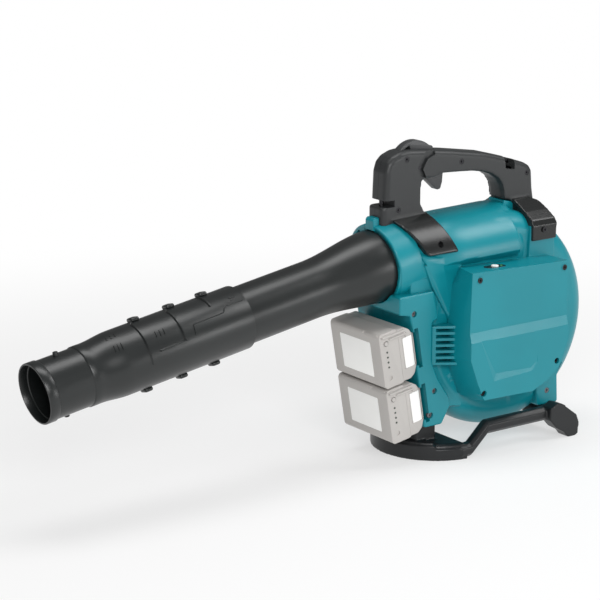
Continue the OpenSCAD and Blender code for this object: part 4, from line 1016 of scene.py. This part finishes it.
for number, name in enumerate(("upper", "lower")):
    here = at_packs @ shift(0, 0, -number * PACK_PITCH)
    body = name + "_pack"
    steps = [block((2, PACK_NEAR - 3, -3.4), (46, PACK_NEAR + END_STEP, 6)),
             level_plate(step_plan, -90, 10)]
    form = carved(plate(pack_outline, PACK_NEAR, PACK_FAR, 2.2, 1.6), "DIFFERENCE", *steps)
    tidy_faces(form)
    soft_edges(form, 0.7, 2, 40)
    rear = carved(form.copy(), "INTERSECT", block((CASE_SPLIT + 0.15, -90, -90), (70, 70, 20)))
    pockets = [on_label_face(label_corners, -2, 0.35, 1.6, 0),
               on_end(GAUGE_BUTTON, 3.7, 4, 5), on_end(GAUGE_DIMPLE, 3.2, 1.2, 5)]
    pockets += [on_end(height, 1.5, 2, 5) for height in lamp_heights]
    case = carved(form, "INTERSECT", block((-5, -90, -90), (CASE_SPLIT - 0.15, 70, 20)))
    case = carved(case, "DIFFERENCE", *pockets)
    on_chamfer = shift(1.4, 0, -1.9) @ Matrix.Rotation(-math.atan2(4, 3), 4, "Y")
    bars = [moved(block((-1.8, near, -1), (1.8, far, 1), 0.6), on_chamfer)
            for near, far in edge_bars]
    for (left, low), (right, high) in end_bars:
        bars.append(block((left, PACK_NEAR - 2.0, low), (right, PACK_NEAR + 3, high), 0.7))
    case = joined([moved(part, here) for part in [case] + bars])
    piece(body + "_front", case, pack_finish, body, "pack_grey", body + "_case", smooth=32)

    rails = []
    for front, half, soft in ((54, NECK_HALF, 0), (59.4, RAIL_HALF, 0.5)):
        low = (front, RAIL_NEAR, PACK_MIDDLE - half)
        rails.append(block(low, (RAIL_BACK, PACK_FAR, PACK_MIDDLE + half), soft))
    rear = carved(rear, "UNION", *rails)
    slots = [block((60.1, 7, height - SLOT_HALF), (66, 80, height + SLOT_HALF))
             for height in (PACK_MIDDLE - 10, PACK_MIDDLE + 10)]
    button_room = block((35.6, PACK_NEAR - 3, -57.4), (53.4, PACK_NEAR + 6, -14.6))
    rear = moved(carved(rear, "DIFFERENCE", button_room, *slots), here)
    piece(body + "_rear", rear, pack_finish, body, "pack_grey", body + "_rails", smooth=32)

    corners = [(y * 0.993 - 0.05, height * 0.995) for y, height in label_corners]
    label = moved(on_label_face(corners, -0.2, 0.34, 1.5, 0.1), here)
    piece(body + "_bare_label", label, white_finish, body, "pack_white", body + "_label")

    lines = [block((x, -66, -53), (x + 0.7, -62.9, -19)) for x in (40.5, 43.5)]
    button = moved(carved(level_plate(button_plan, -57, -15, 0.6, 0.8), "DIFFERENCE", *lines), here)
    release = name + "_release"
    piece(release, button, white_finish, release, "pack_white", release + "_button")

    gauge = name + "_gauge"
    press = moved(on_end(GAUGE_BUTTON, 3, 2.6, 0.8, 0.5), here)
    piece(gauge + "_press", press, pack_finish, gauge, "pack_white", gauge + "_button")
    lamps = moved(joined([on_end(height, 1.4, 2, 0.1, 0.15, 20) for height in lamp_heights]), here)
    piece(gauge + "_row", lamps, lamp_finish, body, "lamp_green", gauge + "_lamps")


# ---- Foot frame ----
# One charcoal moulding that the machine stands on: a flat bow in front, a post under the battery
# column, two eight-sided rails that rise to the back, and a thick foot at each rear corner. The
# bow's front rises higher than the model's, and a thin web fills the space behind it.

foot_finish = plastic("foot_charcoal", (0.010, 0.011, 0.012), 0.36, grain=0.00003, grain_scale=1500,
                      flow=0.08)
foot_finish.set(Specular_IOR_Level=0.4)
BOW_R = 86.0
BOW_RISE = 4.5
WEB_H = (12, 22)
foot = from_model("foot_frame")
bow_front = carved(foot.copy(), "INTERSECT", block((-80, -110, -1), (52, 110, 60)))
moved(bow_front, shift(0, 0, BOW_RISE))
web = drum(BOW_R - 5, *WEB_H, 3, shift(BOW_R + 17, 0, 0))
web = carved(web, "INTERSECT", block((30, -90, 0), (91, 90, 40)))
foot = softened(carved(foot, "UNION", bow_front, web), 1.25, 3)
piece("foot_frame_moulding", foot, foot_finish, "housing", "foot_charcoal", "foot_frame", smooth=60)


# ---- Air inlet ----
# A black grille cover over the air inlet on the far side. It swings on a hinge pin at the back, and
# a lock knob turns at its front edge.

def eased_piece(name, node, finish, body, slot, offset, sharper_than=30, segments=2, **shading):
    """The model's own solid as a finished object, with its edges rounded."""
    drawing = from_model(node)
    tidy_faces(drawing)
    soft_edges(drawing, offset, segments, sharper_than)
    piece(name, drawing, finish, body, slot, node, **shading)


eased_piece("inlet_grille", "inlet_cover", pipe_finish, "inlet_cover", "pipe_black", 0.5, 50,
            smooth=25, flat=True)
eased_piece("inlet_knob", "inlet_lock_knob", handle_finish, "inlet_lock", "handle_grey", 0.7)


# ---- Trigger, cruise lever and power panel ----
# What the hand works: a black trigger under the grip, a thumb disc above it that holds the speed,
# and the power panel on top of the motor cover with its push button and lamp.

control_finish = plastic("control_grey", (0.036, 0.038, 0.040), 0.40, grain=0.000015, flow=0.06)
eased_piece("cruise_disc", "cruise_lever", control_finish, "cruise_lever", "pipe_black", 1.4, 30, 3)
eased_piece("trigger_blade", "trigger", control_finish, "trigger", "pipe_black", 1.6, 50, 3)

panel_finish = plastic("panel_black", (0.010, 0.011, 0.012), 0.22, grain=0.000004, flow=0.03)
eased_piece("power_plate", "power_panel", panel_finish, "housing", "panel_black", 0.5)
eased_piece("power_press", "power_button", white_finish, "power_button", "steel", 0.5)
glow_finish = Finish("power_glow")
glow_tone = glow_finish.between((0.08, 0.42, 0.12), (0.14, 0.55, 0.18), glow_finish.noise(700))
glow_finish.set(Base_Color=glow_tone, Roughness=0.2)
eased_piece("power_glow_lens", "power_lamp", glow_finish, "housing", "lamp_green", 0.4)


# ---- Screws, pins, motor and fan ----
# Steel screws, pins and bearings, an alloy motor case, copper windings, stacked stator sheets and a
# nylon fan. They keep the model's own solids, and each kind has one finish.

def metal(name, colour, gloss, scratch_scale, scratch, stretch=(1, 1, 1)):
    """Bare or treated metal: fine scratches and smeared patches of gloss.

    scratch_scale is the scratches to the metre, scratch their depth in metres.
    """
    finish = Finish(name)
    along = finish.add("Mapping", None, {"Vector": finish.place, "Scale": stretch})
    scratches = finish.noise(scratch_scale, 4, 0.65, place=along)
    smears = finish.noise(60, 3, 0.6)
    smeared = [0.82 * channel for channel in colour]
    tone = finish.between(smeared, colour, finish.ramp(smears, 0.3, 0.6))
    finish.set(Base_Color=tone, Metallic=1.0, Roughness=(smears - 0.5) * 0.16 + gloss,
               Normal=finish.bump(scratches, scratch))
    return finish


def carried(finish, *names):
    """Gives CAD nodes that stay as they are one finish."""
    for name in names:
        for slot in nodes[name].material_slots:
            slot.material = finish.material


def banded(finish, direction, scale, height):
    """Lays close raised bands over a finish: stacked sheets, or turns of wire."""
    bands = finish.add("TexWave", {"bands_direction": direction},
                       {"Vector": finish.place, "Scale": scale}, output=1)
    finish.set(Normal=finish.bump(bands, height))
    return finish


carried(metal("black_steel", (0.045, 0.045, 0.048), 0.38, 900, 0.00002),
        "handle_screws", "cover_screws", "saddle_screws", "front_eyelet_pin", "rear_strap_bar",
        "lever_pin", "trigger_pin")
carried(metal("bright_steel", (0.58, 0.59, 0.61), 0.28, 500, 0.00001, stretch=(8, 1, 1)),
        "foot_screws", "inlet_hinge_pin", "fan_nut", "motor_rotor", "motor_bearings")
carried(metal("dull_steel", (0.17, 0.17, 0.18), 0.36, 500, 0.00001), "housing_screws")
carried(metal("motor_alloy", (0.50, 0.51, 0.53), 0.42, 260, 0.00004),
        "motor_case", "controller_box", "inlet_switch")
laminated = metal("stator_sheets", (0.36, 0.36, 0.38), 0.40, 400, 0.00001)
carried(banded(laminated, "Y", 320, 0.0001), "motor_stator")
wire = metal("copper_wire", (0.62, 0.30, 0.13), 0.30, 300, 0.00001)
carried(banded(wire, "DIAGONAL", 260, 0.0003), "motor_windings")
carried(plastic("fan_nylon", (0.018, 0.018, 0.020), 0.38, flow=0.08),
        "fan", "switch_body", "upper_terminal", "lower_terminal")
